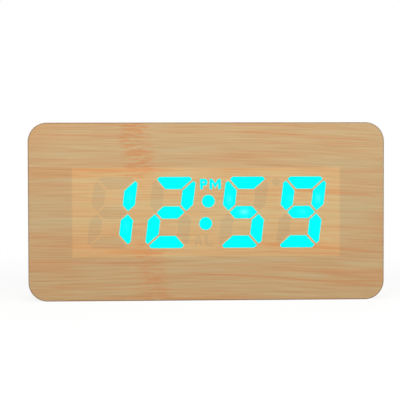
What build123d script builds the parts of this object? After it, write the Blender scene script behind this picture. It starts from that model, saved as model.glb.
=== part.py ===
"""Alarm clock in a rounded wooden block, with a digital display that glows through the front.

Millimetres. +Z is up, the front faces -Y, and the origin is the middle of the base.
"""

from build123d import *

import os
from math import radians, sqrt, tan

# Wooden case
case_width = 150.0
case_height = 75.0
case_depth = 42.0
corner_radius = 8.0
sheet_thickness = 0.6
sheet_edge_flat = 0.25
wrap_thickness = 0.5
side_wall = 5.0
front_wall = 6.0

# Digits
digit_width = 18.2
digit_height = 30.0
segment_width = 5.2
segment_gap = 0.85
segment_round = 0.35
digit_corner_cut = 2.7
digit_pitch = 24.4
colon_pitch = 30.75
slant_degrees = 7.0
display_drop = 0.3

# Dots and letter marks
colon_dot_radius = 2.7
colon_dot_rise = 4.7
degree_dot_radius = 1.7
degree_dot_rise = 12.9
mark_height = 4.45
mark_stroke = 1.2
mark_letter_gap = 0.9
mark_rise = 11.9
letter_p_width = 3.1
letter_p_bowl = 2.9
letter_m_width = 4.8
letter_m_notch = 1.9
letter_m_shoulder = 1.7
letter_m_drop = 2.4
letter_a_width = 3.6
letter_a_point = 1.05
letter_a_foot = 1.05
letter_a_bar_rise = 0.75
letter_a_bar = 0.75
letter_a_peak = 0.85
letter_l_width = 3.4

# Light guides, reflector and lamps behind the front sheet
window_margin_x = 5.5
window_margin_z = 3.7
window_fit = 0.2
guide_length = 4.0
mark_plate_margin = 0.5
cell_fit = 0.1
led_width = 2.0
led_height = 1.2
led_thickness = 0.8

# Boards
board_thickness = 1.6
board_fit = 1.5
display_board_strip = 5.3
display_screw_inset = 8.0
key_board_gap = 3.0
key_board_end = 4.0
key_standoff = 9.0
post_radius = 2.4
post_gap = 3.0

# Rear cover
cover_recess = 2.0
cover_thickness = 2.4
cover_ledge = 2.5
cover_fit = 0.25
cover_edge_round = 0.5
cover_screw_inset = 4.5
cover_screw_wood = 1.7
sound_hole_radius = 0.8
sound_hole_circle = 2.8
sound_hole_count = 6
vent_length = 6.0
vent_width = 1.2
vent_pitch = 2.4
vent_count = 3

# Screws
screw_radius = 1.25
screw_head_radius = 2.5
screw_head_height = 1.6
screw_head_round = 0.5
screw_counterbore = 1.2
screw_grip = 8.0
small_screw_radius = 1.0
small_screw_head_radius = 1.9
small_screw_head_height = 1.3
small_screw_grip = 4.6
screw_tip_cut = 0.6
screw_cross_margin = 0.9
screw_cross_width = 0.6
screw_cross_depth = 0.7
screw_hole_fit = 0.25
thread_fit = 0.05

# Buttons and switches
button_radius = 3.5
button_proud = 1.2
button_edge_round = 0.6
button_fit = 0.2
button_lip = 1.1
button_lip_thickness = 1.0
button_lip_gap = 0.1
button_stem_radius = 1.5
button_travel = 0.5
button_mark_radius = 1.5
button_mark_line = 0.6
button_mark_depth = 0.25
button_pitch = 14.0
switch_width = 6.0
switch_height = 3.5
plunger_radius = 1.75
plunger_proud = 1.5
plunger_root = 1.0
plunger_fit = 0.06

# Buzzer, sensor and power socket on the key board
buzzer_gap = 9.5
buzzer_radius = 4.75
buzzer_height = 6.5
buzzer_edge_round = 0.6
buzzer_port_radius = 1.2
buzzer_port_depth = 1.0
sensor_gap = 5.0
sensor_bead_radius = 1.3
sensor_height = 5.5
sensor_lead_radius = 0.3
sensor_lead_pitch = 1.5
socket_gap = 4.0
socket_base_margin = 0.75
socket_base_height = 6.0
socket_bore_radius = 1.8
socket_wall = 1.95
socket_floor = 1.5
socket_sunk = 0.4
socket_fit = 0.25
socket_pin_radius = 0.65
socket_pin_sunk = 0.8
socket_pin_round = 0.3

# Battery cells and their contacts
cell_radius = 5.25
cell_body_length = 43.7
cell_edge_round = 0.5
cell_nub_radius = 1.9
cell_nub_length = 0.8
cell_count = 3
contact_thickness = 0.4
contact_width = 8.0
spring_reach = 3.0
spring_width = 4.0
spring_leg = 5.0
spring_bend = 0.8

# Battery bay and door
cell_side_gap = 0.3
cell_floor_gap = 0.2
cell_door_gap = 0.9
bay_wall = 2.0
bay_margin = 3.0
door_rest = 1.0
door_lift = 0.2
door_fit = 0.3
door_pin_radius = 0.6
door_pin_length = 1.2
door_pin_fit = 0.06
door_tongue_width = 12.0
door_tongue_length = 8.0
door_tongue_slot = 0.8
door_grip_count = 4
door_grip_pitch = 1.4
door_grip_width = 0.6
door_grip_depth = 0.35
thumb_notch_radius = 6.0
thumb_notch_depth = 1.0

# Wires between the bay and the boards
lead_radius = 0.6
lead_bend = 1.3
lead_straight = 0.1
lead_hole_fit = 0.1
cable_x = -24.0
cable_width = 7.6
cable_thickness = 1.0
cable_slack = 3.5
cable_bend = 0.55
header_width = 9.6
header_depth = 3.6
header_height = 3.0

# Small electronics on the back of the display board
chip_length = 13.0
chip_width = 7.5
chip_height = 2.3
chip_lift = 0.3
chip_edge_round = 0.3
chip_leg_count = 10
chip_leg_pitch = 1.27
chip_leg_width = 0.45
chip_leg_reach = 1.4
chip_leg_height = 1.2
crystal_x = 18.0
crystal_radius = 1.5
crystal_length = 8.0
crystal_lift = 0.3
crystal_leg_pitch = 4.0
capacitor_x = 36.0
capacitor_radius = 3.15
capacitor_height = 7.0
capacitor_base = 0.8
capacitor_edge_round = 0.4

# Depths along Y, from the front face to the back rim
middle = case_height / 2
front = -case_depth / 2
back = case_depth / 2
sheet_back = front + sheet_thickness
wall_back = sheet_back + front_wall
board_back = wall_back + board_thickness
cover_out = back - cover_recess
cover_in = cover_out - cover_thickness
key_face = cover_in - key_standoff
key_front = key_face - board_thickness
screw_seat = cover_out - screw_counterbore
socket_top = cover_out - socket_sunk
plunger_top = key_face + switch_height + plunger_proud

# Outlines that follow from the case
core_width = case_width - 2 * wrap_thickness
core_height = case_height - 2 * wrap_thickness
core_radius = corner_radius - wrap_thickness
cavity_width = case_width - 2 * side_wall
cavity_height = case_height - 2 * side_wall
cover_width = cavity_width + 2 * cover_ledge
cover_height = cavity_height + 2 * cover_ledge
cover_radius = corner_radius - side_wall + cover_ledge
cover_screw_x = cover_width - 2 * cover_screw_inset
cover_screw_z = cover_height - 2 * cover_screw_inset

# The cavity's corners are round enough to leave wood behind each cover screw
screw_past_ledge = cover_screw_inset - cover_ledge
cavity_radius = (screw_radius + cover_screw_wood + sqrt(2) * screw_past_ledge) / (sqrt(2) - 1)

# Display: digit places, and the window and board around them
lean = tan(radians(slant_degrees))
digit_xs = (
    -colon_pitch / 2 - digit_pitch,
    -colon_pitch / 2,
    colon_pitch / 2,
    colon_pitch / 2 + digit_pitch,
)
window_width = 2 * (digit_xs[-1] + window_margin_x) + digit_width + digit_height * lean
window_height = digit_height + 2 * window_margin_z
display_board_width = cavity_width - 2 * board_fit
display_board_height = window_height + 2 * display_board_strip
display_screw_x = window_width - 2 * display_screw_inset
display_screw_z = window_height + display_board_strip

# What each digit shows, with the bars lettered clockwise from the top and the middle one last
all_bars = "abcdefg"
lit_bars = ("bc", "abdeg", "acdfg", "abcdfg")
unlit_bars = tuple("".join(bar for bar in all_bars if bar not in lit) for lit in lit_bars)

# Letter marks: PM above the colon and AL below it
lit_mark = (mark_rise * lean, mark_rise)
unlit_mark = (-mark_rise * lean, -mark_rise)
lit_mark_width = letter_p_width + mark_letter_gap + letter_m_width
unlit_mark_width = letter_a_width + mark_letter_gap + letter_l_width

# Battery bay and door, measured up from mid-height
bay_length = cell_body_length + cell_nub_length + 2 * contact_thickness + spring_reach
bay_height = cell_count * 2 * cell_radius + (cell_count + 1) * cell_side_gap
bay_outer_length = bay_length + 2 * bay_wall
bay_outer_height = bay_height + 2 * bay_wall
bay_depth = cell_floor_gap + 2 * cell_radius + cell_door_gap - door_lift
bay_floor = cover_in - bay_depth
bay_z = -cavity_height / 2 + bay_margin + bay_outer_height / 2
opening_width = bay_length + 2 * door_rest
opening_height = bay_height + 2 * door_rest
opening_top = bay_z + opening_height / 2
door_thickness = cover_thickness - door_lift
door_width = opening_width - 2 * door_fit
door_top = opening_top - door_fit
hinge_y = cover_out - door_thickness / 2
hinge_z = bay_z - opening_height / 2 + door_fit + door_thickness / 2

# Cells lie side by side, and every second one is turned round
cell_y = bay_floor + cell_floor_gap + cell_radius
cell_pitch = 2 * cell_radius + cell_side_gap
cell_rows = [bay_z + (i - (cell_count - 1) / 2) * cell_pitch for i in range(cell_count)]
cell_turns = [1 if i % 2 == 0 else -1 for i in range(cell_count)]
red_end = (cell_turns[-1], cell_rows[-1])
black_end = (-cell_turns[0], cell_rows[0])
lead_x = bay_outer_length / 2 + lead_straight + lead_bend

# Key row, half way between the bay and the top of the cavity
bay_top = bay_z + bay_outer_height / 2
key_z = (bay_top + cavity_height / 2) / 2
key_board_height = cavity_height / 2 - bay_top - 2 * key_board_gap
set_x = -lead_x - button_pitch / 2
button_xs = {"set": set_x, "up": set_x + button_pitch, "down": set_x + 2 * button_pitch}
button_points = [(x, key_z) for x in button_xs.values()]
sensor_x = lead_x - sensor_gap
buzzer_x = sensor_x - buzzer_gap
socket_nose_radius = socket_bore_radius + socket_wall
socket_base_width = 2 * (socket_nose_radius + socket_base_margin)
socket_x = lead_x + socket_gap + socket_base_width / 2
post_x = socket_x + socket_base_width / 2 + post_gap + post_radius
post_points = [(-post_x, key_z), (post_x, key_z)]
key_board_length = 2 * (post_x + key_board_end)


def upright(y):
    """A plane at depth y that faces the front: x along X, y along Z from mid-height."""
    return Plane(origin=(0, y, middle), x_dir=(1, 0, 0), z_dir=(0, -1, 0))


def on_display(y):
    """The same plane about the middle of the digits, which stand a little low in their window."""
    return Plane(origin=(0, y, middle - display_drop), x_dir=(1, 0, 0), z_dir=(0, -1, 0))


def save(piece, label):
    """Names a finished piece and writes it as its own STEP file."""
    piece.part.label = label
    export_step(piece.part, f"parts/{label}.step")


def rectangle_points(width, height):
    """The four corners of a rectangle about the middle of the face."""
    return [(sx * width / 2, sz * height / 2) for sx in (-1, 1) for sz in (-1, 1)]


def bar_outlines():
    """Corner points of a digit's seven bars, upright, about the digit's middle."""
    half = segment_width / 2
    x = digit_width / 2 - half
    z = digit_height / 2 - half
    tip = segment_gap / sqrt(2)
    cut = x + z + 2 * half - digit_corner_cut
    top_right = [
        (x - half - tip, z - half),
        ((cut + x - z - tip) / 2, (cut - x + z + tip) / 2),
        (x + half - digit_corner_cut, z + half),
    ]
    upper_right = [
        (x, tip),
        (x + half, tip + half),
        (x + half, z + half - digit_corner_cut),
        ((cut + x - z + tip) / 2, (cut - x + z - tip) / 2),
        (x - half, z - half - tip),
        (x - half, tip + half),
    ]
    middle_right = [(x - tip - half, -half), (x - tip, 0), (x - tip - half, half)]
    top = top_right + [(-px, pz) for px, pz in reversed(top_right)]
    centre = middle_right + [(-px, pz) for px, pz in reversed(middle_right)]
    return {
        "a": top,
        "b": upper_right,
        "c": [(px, -pz) for px, pz in upper_right],
        "d": [(px, -pz) for px, pz in top],
        "e": [(-px, -pz) for px, pz in upper_right],
        "f": [(-px, pz) for px, pz in upper_right],
        "g": centre,
    }


def draw_bars(bars_by_digit):
    """Draws the named bars of each digit, leaning to the right, in the open sketch."""
    outlines = bar_outlines()
    for digit_x, bars in zip(digit_xs, bars_by_digit):
        for bar in bars:
            points = [(px + pz * lean, pz) for px, pz in outlines[bar]]
            with Locations((digit_x, 0)):
                Polygon(*points, align=None)


def draw_colon():
    """Draws the two round dots of the colon in the open sketch."""
    rise = colon_dot_rise
    with Locations((rise * lean, rise), (-rise * lean, -rise)):
        Circle(colon_dot_radius)


def draw_degree_dot():
    """Draws the degree dot between the last two digits in the open sketch."""
    dot_x = (digit_xs[2] + digit_xs[3]) / 2 + degree_dot_rise * lean
    with Locations((dot_x, degree_dot_rise)):
        Circle(degree_dot_radius)


def draw_letter_p(left, base):
    """An upright with a round-cornered bowl on its upper part."""
    with Locations((left + mark_stroke / 2, base + mark_height / 2)):
        Rectangle(mark_stroke, mark_height)
    with Locations((left + letter_p_width / 2, base + mark_height - letter_p_bowl / 2)):
        RectangleRounded(letter_p_width, letter_p_bowl, mark_stroke)
        Rectangle(letter_p_width - 2 * mark_stroke, letter_p_bowl - 2 * mark_stroke, mode=Mode.SUBTRACT)


def draw_letter_m(left, base):
    """Two uprights joined by a V."""
    left_half = [
        (letter_m_width / 2, mark_height - letter_m_notch),
        (mark_stroke, mark_height),
        (0, mark_height),
        (0, 0),
        (mark_stroke, 0),
        (mark_stroke, mark_height - letter_m_shoulder),
        (letter_m_width / 2, mark_height - letter_m_shoulder - letter_m_drop),
    ]
    right_half = [(letter_m_width - px, pz) for px, pz in reversed(left_half[1:-1])]
    with Locations((left, base)):
        Polygon(*left_half, *right_half, align=None)


def draw_letter_a(left, base):
    """Two legs that lean together, with a cross bar."""
    bar_top = letter_a_bar_rise + letter_a_bar
    peak = mark_height - letter_a_peak

    def inside(z):
        return letter_a_foot + (letter_a_width / 2 - letter_a_foot) * z / peak

    with Locations((left, base)):
        Polygon(
            (0, 0),
            (letter_a_width, 0),
            ((letter_a_width + letter_a_point) / 2, mark_height),
            ((letter_a_width - letter_a_point) / 2, mark_height),
            align=None,
        )
        Polygon(
            (letter_a_foot, 0),
            (letter_a_width - letter_a_foot, 0),
            (letter_a_width - inside(letter_a_bar_rise), letter_a_bar_rise),
            (inside(letter_a_bar_rise), letter_a_bar_rise),
            align=None,
            mode=Mode.SUBTRACT,
        )
        Polygon(
            (inside(bar_top), bar_top),
            (letter_a_width - inside(bar_top), bar_top),
            (letter_a_width / 2, peak),
            align=None,
            mode=Mode.SUBTRACT,
        )


def draw_letter_l(left, base):
    """An upright with a foot."""
    with Locations((left, base)):
        Polygon(
            (0, 0),
            (letter_l_width, 0),
            (letter_l_width, mark_stroke),
            (mark_stroke, mark_stroke),
            (mark_stroke, mark_height),
            (0, mark_height),
            align=None,
        )


def draw_lit_mark():
    """The PM mark, above the colon."""
    left = lit_mark[0] - lit_mark_width / 2
    base = lit_mark[1] - mark_height / 2
    draw_letter_p(left, base)
    draw_letter_m(left + letter_p_width + mark_letter_gap, base)


def draw_unlit_mark():
    """The AL mark, below the colon."""
    left = unlit_mark[0] - unlit_mark_width / 2
    base = unlit_mark[1] - mark_height / 2
    draw_letter_a(left, base)
    draw_letter_l(left + letter_a_width + mark_letter_gap, base)


def draw_mark_plate(place, width):
    """The plate that carries a mark's letters, behind the sheet."""
    with Locations(place):
        Rectangle(width + 2 * mark_plate_margin, mark_height + 2 * mark_plate_margin)


def make_screws(seat, towards, points, radius, head_radius, head_height, grip):
    """Pan-head cross screws through a seat, driven to the front (1) or to the back (-1)."""
    with BuildPart() as screws:
        with BuildSketch(upright(seat)):
            with Locations(*points):
                Circle(head_radius)
        extrude(amount=-towards * head_height)
        head_edges = screws.edges().filter_by(GeomType.CIRCLE).group_by(Axis.Y)
        fillet(head_edges[-1] if towards > 0 else head_edges[0], radius=screw_head_round)
        with BuildSketch(upright(seat)):
            with Locations(*points):
                Circle(radius)
        extrude(amount=towards * grip)
        shank_edges = screws.edges().filter_by(GeomType.CIRCLE).group_by(Axis.Y)
        chamfer(shank_edges[0] if towards > 0 else shank_edges[-1], length=screw_tip_cut)
        with BuildSketch(upright(seat + towards * head_height)):
            with Locations(*points):
                Rectangle(2 * (head_radius - screw_cross_margin), screw_cross_width)
                Rectangle(screw_cross_width, 2 * (head_radius - screw_cross_margin))
        extrude(amount=towards * screw_cross_depth, mode=Mode.SUBTRACT)
    return screws


os.makedirs("parts", exist_ok=True)

cover_screw_points = rectangle_points(cover_screw_x, cover_screw_z)
display_screw_points = rectangle_points(display_screw_x, display_screw_z)

# Case body: a hollow fibreboard block with a window in front and a stepped rim behind
with BuildPart() as case_body:
    with BuildSketch(upright(sheet_back)):
        RectangleRounded(core_width, core_height, core_radius)
    extrude(amount=-(back - sheet_back))
    with BuildSketch(upright(wall_back)):
        RectangleRounded(cavity_width, cavity_height, cavity_radius)
    extrude(amount=-(back - wall_back), mode=Mode.SUBTRACT)
    with BuildSketch(upright(cover_in)):
        RectangleRounded(cover_width + 2 * cover_fit, cover_height + 2 * cover_fit, cover_radius + cover_fit)
    extrude(amount=-(back - cover_in), mode=Mode.SUBTRACT)
    with BuildSketch(upright(sheet_back)):
        Rectangle(window_width, window_height)
    extrude(amount=-front_wall, mode=Mode.SUBTRACT)
    with BuildSketch(upright(cover_in)):
        with Locations(*cover_screw_points):
            Circle(screw_radius + thread_fit)
    extrude(amount=screw_grip, mode=Mode.SUBTRACT)
    with BuildSketch(upright(wall_back)):
        with Locations(*display_screw_points):
            Circle(small_screw_radius + thread_fit)
    extrude(amount=small_screw_grip - board_thickness + thread_fit, mode=Mode.SUBTRACT)
save(case_body, "case_body")

# Side wrap: wood-grain film carried round the four sides of the block
with BuildPart() as side_wrap:
    with BuildSketch(upright(sheet_back)):
        RectangleRounded(case_width, case_height, corner_radius)
        RectangleRounded(core_width, core_height, core_radius, mode=Mode.SUBTRACT)
    extrude(amount=-(back - sheet_back))
save(side_wrap, "side_wrap")

# Glowing and dark shapes of the display, drawn on the front face
with BuildSketch(on_display(front)) as lit_shapes:
    draw_bars(lit_bars)
    fillet(lit_shapes.vertices(), radius=segment_round)
    draw_colon()
    draw_lit_mark()

with BuildSketch(on_display(front)) as unlit_shapes:
    draw_bars(unlit_bars)
    fillet(unlit_shapes.vertices(), radius=segment_round)
    draw_degree_dot()
    draw_unlit_mark()

# Front sheet: the wood-grain face, open where the display's light guides come through
with BuildPart() as front_sheet:
    with BuildSketch(upright(front)):
        RectangleRounded(case_width, case_height, corner_radius)
    extrude(amount=-sheet_thickness)
    front_edges = front_sheet.faces().sort_by(Axis.Y)[0].edges()
    fillet(front_edges, radius=sheet_thickness - sheet_edge_flat)
    extrude(lit_shapes.sketch, amount=-sheet_thickness, mode=Mode.SUBTRACT)
    extrude(unlit_shapes.sketch, amount=-sheet_thickness, mode=Mode.SUBTRACT)
save(front_sheet, "front_sheet")

# Light guides: bars and dots, and letters on a plate behind the sheet, flush with the front
with BuildPart() as lit_segments:
    extrude(lit_shapes.sketch, amount=-guide_length)
    with BuildSketch(on_display(sheet_back)):
        draw_mark_plate(lit_mark, lit_mark_width)
    extrude(amount=-(guide_length - sheet_thickness))
save(lit_segments, "lit_segments")

with BuildPart() as unlit_segments:
    extrude(unlit_shapes.sketch, amount=-guide_length)
    with BuildSketch(on_display(sheet_back)):
        draw_mark_plate(unlit_mark, unlit_mark_width)
    extrude(amount=-(guide_length - sheet_thickness))
save(unlit_segments, "unlit_segments")

# Reflector: a white block that fills the window, with a light cell behind each guide
with BuildSketch(on_display(sheet_back)) as cells:
    draw_bars((all_bars,) * len(digit_xs))
    draw_colon()
    draw_degree_dot()
    draw_mark_plate(lit_mark, lit_mark_width)
    draw_mark_plate(unlit_mark, unlit_mark_width)
    offset(amount=cell_fit)

with BuildPart() as display_reflector:
    with BuildSketch(upright(sheet_back)):
        Rectangle(window_width - 2 * window_fit, window_height - 2 * window_fit)
    extrude(amount=-front_wall)
    extrude(cells.sketch, amount=-front_wall, mode=Mode.SUBTRACT)
save(display_reflector, "display_reflector")

# Display board behind the reflector, with its corners kept inside the cavity's
with BuildPart() as display_board:
    with BuildSketch(upright(wall_back)):
        RectangleRounded(display_board_width, cavity_height - 2 * board_fit, cavity_radius - board_fit)
        Rectangle(display_board_width, display_board_height, mode=Mode.INTERSECT)
        with Locations(*display_screw_points):
            Circle(small_screw_radius + screw_hole_fit, mode=Mode.SUBTRACT)
    extrude(amount=-board_thickness)
save(display_board, "display_board")

# Lamps: one on the board in the middle of each light cell
with BuildPart() as segment_leds:
    with BuildSketch(on_display(wall_back)):
        with Locations(*[cell.center() for cell in cells.faces()]):
            Rectangle(led_width, led_height)
    extrude(amount=led_thickness)
save(segment_leds, "segment_leds")

display_screws = make_screws(
    board_back,
    1,
    display_screw_points,
    small_screw_radius,
    small_screw_head_radius,
    small_screw_head_height,
    small_screw_grip,
)
save(display_screws, "display_screws")

# Controller chip with its two rows of legs
with BuildPart() as controller_chip:
    with BuildSketch(upright(board_back + chip_lift)):
        Rectangle(chip_length, chip_width)
    extrude(amount=-(chip_height - chip_lift))
    fillet(controller_chip.faces().sort_by(Axis.Y)[-1].edges(), radius=chip_edge_round)
    with BuildSketch(upright(board_back)):
        with GridLocations(chip_leg_pitch, chip_width + chip_leg_reach, chip_leg_count, 2):
            Rectangle(chip_leg_width, chip_leg_reach)
    extrude(amount=-chip_leg_height)
save(controller_chip, "controller_chip")

# Clock crystal: a small can lying along the board on two legs
with BuildPart() as clock_crystal:
    with BuildSketch(Plane.YZ.offset(crystal_x - crystal_length / 2)):
        with Locations((board_back + crystal_lift + crystal_radius, middle)):
            Circle(crystal_radius)
    extrude(amount=crystal_length)
    with BuildSketch(upright(board_back)):
        with Locations((crystal_x - crystal_leg_pitch / 2, 0), (crystal_x + crystal_leg_pitch / 2, 0)):
            Rectangle(chip_leg_width, crystal_radius)
    extrude(amount=-(crystal_lift + crystal_radius))
save(clock_crystal, "clock_crystal")

# Smoothing capacitor: a round can on a square base
with BuildPart() as smoothing_capacitor:
    with BuildSketch(upright(board_back)):
        with Locations((capacitor_x, 0)):
            Rectangle(2 * capacitor_radius, 2 * capacitor_radius)
    extrude(amount=-capacitor_base)
    with BuildSketch(upright(board_back + capacitor_base)):
        with Locations((capacitor_x, 0)):
            Circle(capacitor_radius)
    extrude(amount=-(capacitor_height - capacitor_base))
    fillet(smoothing_capacitor.faces().sort_by(Axis.Y)[-1].edges(), radius=capacitor_edge_round)
save(smoothing_capacitor, "smoothing_capacitor")

# Rear cover: a plate in the stepped rim, with the battery bay and two posts on its inside
with BuildPart() as rear_cover:
    with BuildSketch(upright(cover_in)):
        RectangleRounded(cover_width, cover_height, cover_radius)
    extrude(amount=-cover_thickness)
    fillet(rear_cover.faces().sort_by(Axis.Y)[-1].edges(), radius=cover_edge_round)
    with BuildSketch(upright(cover_in)):
        with Locations((0, bay_z)):
            Rectangle(bay_outer_length, bay_outer_height)
    extrude(amount=bay_depth + bay_wall)
    with BuildSketch(upright(bay_floor)):
        with Locations((0, bay_z)):
            Rectangle(bay_length, bay_height)
    extrude(amount=-bay_depth, mode=Mode.SUBTRACT)
    with BuildSketch(upright(cover_in)):
        with Locations((0, bay_z)):
            Rectangle(opening_width, opening_height)
    extrude(amount=-cover_thickness, mode=Mode.SUBTRACT)
    with BuildSketch(Plane.YZ):
        with Locations((hinge_y, middle + hinge_z)):
            Circle(door_pin_radius + door_pin_fit)
    extrude(amount=door_width / 2 + door_pin_length + door_pin_fit, both=True, mode=Mode.SUBTRACT)
    for side, row in (red_end, black_end):
        with BuildSketch(Plane.YZ.offset(side * bay_length / 2)):
            with Locations((cell_y, middle + row)):
                Circle(lead_radius + lead_hole_fit)
        extrude(amount=side * bay_wall, mode=Mode.SUBTRACT)
    with BuildSketch(upright(cover_out)):
        with Locations((0, opening_top)):
            Circle(thumb_notch_radius)
        with Locations((0, opening_top - thumb_notch_radius)):
            Rectangle(2 * thumb_notch_radius, 2 * thumb_notch_radius, mode=Mode.SUBTRACT)
    extrude(amount=thumb_notch_depth, mode=Mode.SUBTRACT)
    with BuildSketch(upright(cover_in)):
        with Locations(*post_points):
            Circle(post_radius)
    extrude(amount=key_standoff)
    with BuildSketch(upright(key_face)):
        with Locations(*post_points):
            Circle(small_screw_radius + thread_fit)
    extrude(amount=-(small_screw_grip - board_thickness + thread_fit), mode=Mode.SUBTRACT)
    with BuildSketch(upright(cover_out)):
        with Locations(*button_points):
            Circle(button_radius + button_fit)
        with Locations((socket_x, key_z)):
            Circle(socket_nose_radius + socket_fit)
        with Locations((buzzer_x, key_z)):
            Circle(sound_hole_radius)
            with PolarLocations(sound_hole_circle, sound_hole_count):
                Circle(sound_hole_radius)
        with Locations((sensor_x, key_z)):
            with GridLocations(0, vent_pitch, 1, vent_count):
                SlotOverall(vent_length, vent_width)
        with Locations(*cover_screw_points):
            Circle(screw_radius + screw_hole_fit)
    extrude(amount=cover_thickness, mode=Mode.SUBTRACT)
    with BuildSketch(upright(cover_out)):
        with Locations(*cover_screw_points):
            Circle(screw_head_radius + screw_hole_fit)
    extrude(amount=screw_counterbore, mode=Mode.SUBTRACT)
save(rear_cover, "rear_cover")

cover_screws = make_screws(
    screw_seat,
    1,
    cover_screw_points,
    screw_radius,
    screw_head_radius,
    screw_head_height,
    screw_grip,
)
save(cover_screws, "cover_screws")

# Key board on the cover's two posts, held by screws from its front side
with BuildPart() as key_board:
    with BuildSketch(upright(key_front)):
        with Locations((0, key_z)):
            Rectangle(key_board_length, key_board_height)
        with Locations(*post_points):
            Circle(small_screw_radius + screw_hole_fit, mode=Mode.SUBTRACT)
    extrude(amount=-board_thickness)
save(key_board, "key_board")

key_board_screws = make_screws(
    key_front,
    -1,
    post_points,
    small_screw_radius,
    small_screw_head_radius,
    small_screw_head_height,
    small_screw_grip,
)
save(key_board_screws, "key_board_screws")

# Switch bodies under the three buttons, each with a well for its plunger
with BuildPart() as switch_bodies:
    with BuildSketch(upright(key_face)):
        with Locations(*button_points):
            Rectangle(switch_width, switch_width)
    extrude(amount=-switch_height)
    with BuildSketch(upright(key_face + switch_height)):
        with Locations(*button_points):
            Circle(plunger_radius + plunger_fit)
    extrude(amount=plunger_root + button_travel + plunger_fit, mode=Mode.SUBTRACT)
save(switch_bodies, "switch_bodies")


def make_plunger(place):
    """The round post of a switch, which the button's stem stands on."""
    with BuildPart() as plunger:
        with BuildSketch(upright(plunger_top)):
            with Locations(place):
                Circle(plunger_radius)
        extrude(amount=plunger_proud + plunger_root)
    return plunger


def make_button(place, arrow_turn):
    """A round cap with a lip behind the cover, a stem down to its plunger and a sunk mark.

    The mark is an arrow head turned by the given degrees, or a ring where there is no turn.
    """
    cap_top = cover_out + button_proud
    lip_top = cover_in - button_lip_gap
    lip_bottom = lip_top - button_lip_thickness
    with BuildPart() as button:
        with BuildSketch(upright(cap_top)):
            with Locations(place):
                Circle(button_radius)
        extrude(amount=cap_top - lip_top)
        fillet(button.edges().sort_by(Axis.Y)[-1], radius=button_edge_round)
        with BuildSketch(upright(lip_top)):
            with Locations(place):
                Circle(button_radius + button_lip)
        extrude(amount=button_lip_thickness)
        with BuildSketch(upright(lip_bottom)):
            with Locations(place):
                Circle(button_stem_radius)
        extrude(amount=lip_bottom - plunger_top)
        with BuildSketch(upright(cap_top)):
            with Locations(place):
                if arrow_turn is None:
                    Circle(button_mark_radius)
                    Circle(button_mark_radius - button_mark_line, mode=Mode.SUBTRACT)
                else:
                    RegularPolygon(button_mark_radius, 3, rotation=arrow_turn)
        extrude(amount=button_mark_depth, mode=Mode.SUBTRACT)
    return button


# Buttons: a ring marks the set button, and arrow heads mark up and down
arrow_turns = {"set": None, "up": 90, "down": -90}
for name, place in zip(button_xs, button_points):
    save(make_button(place, arrow_turns[name]), f"{name}_button")
    save(make_plunger(place), f"{name}_plunger")

# Buzzer with its sound port, behind the cover's ring of sound holes
with BuildPart() as buzzer:
    with BuildSketch(upright(key_face)):
        with Locations((buzzer_x, key_z)):
            Circle(buzzer_radius)
    extrude(amount=-buzzer_height)
    fillet(buzzer.faces().sort_by(Axis.Y)[-1].edges(), radius=buzzer_edge_round)
    with BuildSketch(upright(key_face + buzzer_height)):
        with Locations((buzzer_x, key_z)):
            Circle(buzzer_port_radius)
    extrude(amount=buzzer_port_depth, mode=Mode.SUBTRACT)
save(buzzer, "buzzer")

# Temperature sensor: a bead on two leads, behind the vent slots
with BuildPart() as temperature_sensor:
    with BuildSketch(upright(key_face)):
        with Locations((sensor_x, key_z)):
            with GridLocations(sensor_lead_pitch, 0, 2, 1):
                Circle(sensor_lead_radius)
    extrude(amount=-sensor_height)
    with Locations((sensor_x, key_face + sensor_height, middle + key_z)):
        Sphere(sensor_bead_radius)
save(temperature_sensor, "temperature_sensor")

# Power socket: a square base on the board and a round nose in the cover's hole, with a pin in its bore
socket_bore_end = key_face + socket_floor
with BuildPart() as power_socket:
    with BuildSketch(upright(key_face)):
        with Locations((socket_x, key_z)):
            Rectangle(socket_base_width, socket_base_width)
    extrude(amount=-socket_base_height)
    with BuildSketch(upright(key_face)):
        with Locations((socket_x, key_z)):
            Circle(socket_nose_radius)
    extrude(amount=-(socket_top - key_face))
    with BuildSketch(upright(socket_bore_end)):
        with Locations((socket_x, key_z)):
            Circle(socket_bore_radius)
    extrude(amount=-(socket_top - socket_bore_end), mode=Mode.SUBTRACT)
save(power_socket, "power_socket")

with BuildPart() as socket_pin:
    with BuildSketch(upright(socket_bore_end)):
        with Locations((socket_x, key_z)):
            Circle(socket_pin_radius)
    extrude(amount=-(socket_top - socket_pin_sunk - socket_bore_end))
    fillet(socket_pin.faces().sort_by(Axis.Y)[-1].edges(), radius=socket_pin_round)
save(socket_pin, "socket_pin")

# Battery door: hinged along its lower edge on two pins, with a gripped tongue at the top
with BuildPart() as battery_door:
    with BuildSketch(Plane.YZ):
        with Locations((hinge_y, middle + (hinge_z + door_top) / 2)):
            Rectangle(door_thickness, door_top - hinge_z)
        with Locations((hinge_y, middle + hinge_z)):
            Circle(door_thickness / 2)
    extrude(amount=door_width / 2, both=True)
    with BuildSketch(Plane.YZ):
        with Locations((hinge_y, middle + hinge_z)):
            Circle(door_pin_radius)
    extrude(amount=door_width / 2 + door_pin_length, both=True)
    with BuildSketch(upright(cover_out)):
        with Locations((0, door_top - door_tongue_length / 2)):
            with GridLocations(door_tongue_width, 0, 2, 1):
                Rectangle(door_tongue_slot, door_tongue_length)
    extrude(amount=door_thickness, mode=Mode.SUBTRACT)
    with BuildSketch(upright(cover_out)):
        with Locations((0, door_top - door_tongue_length / 2)):
            with GridLocations(0, door_grip_pitch, 1, door_grip_count):
                Rectangle(door_tongue_width - 2 * door_tongue_slot, door_grip_width)
    extrude(amount=door_grip_depth, mode=Mode.SUBTRACT)
save(battery_door, "battery_door")

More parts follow.
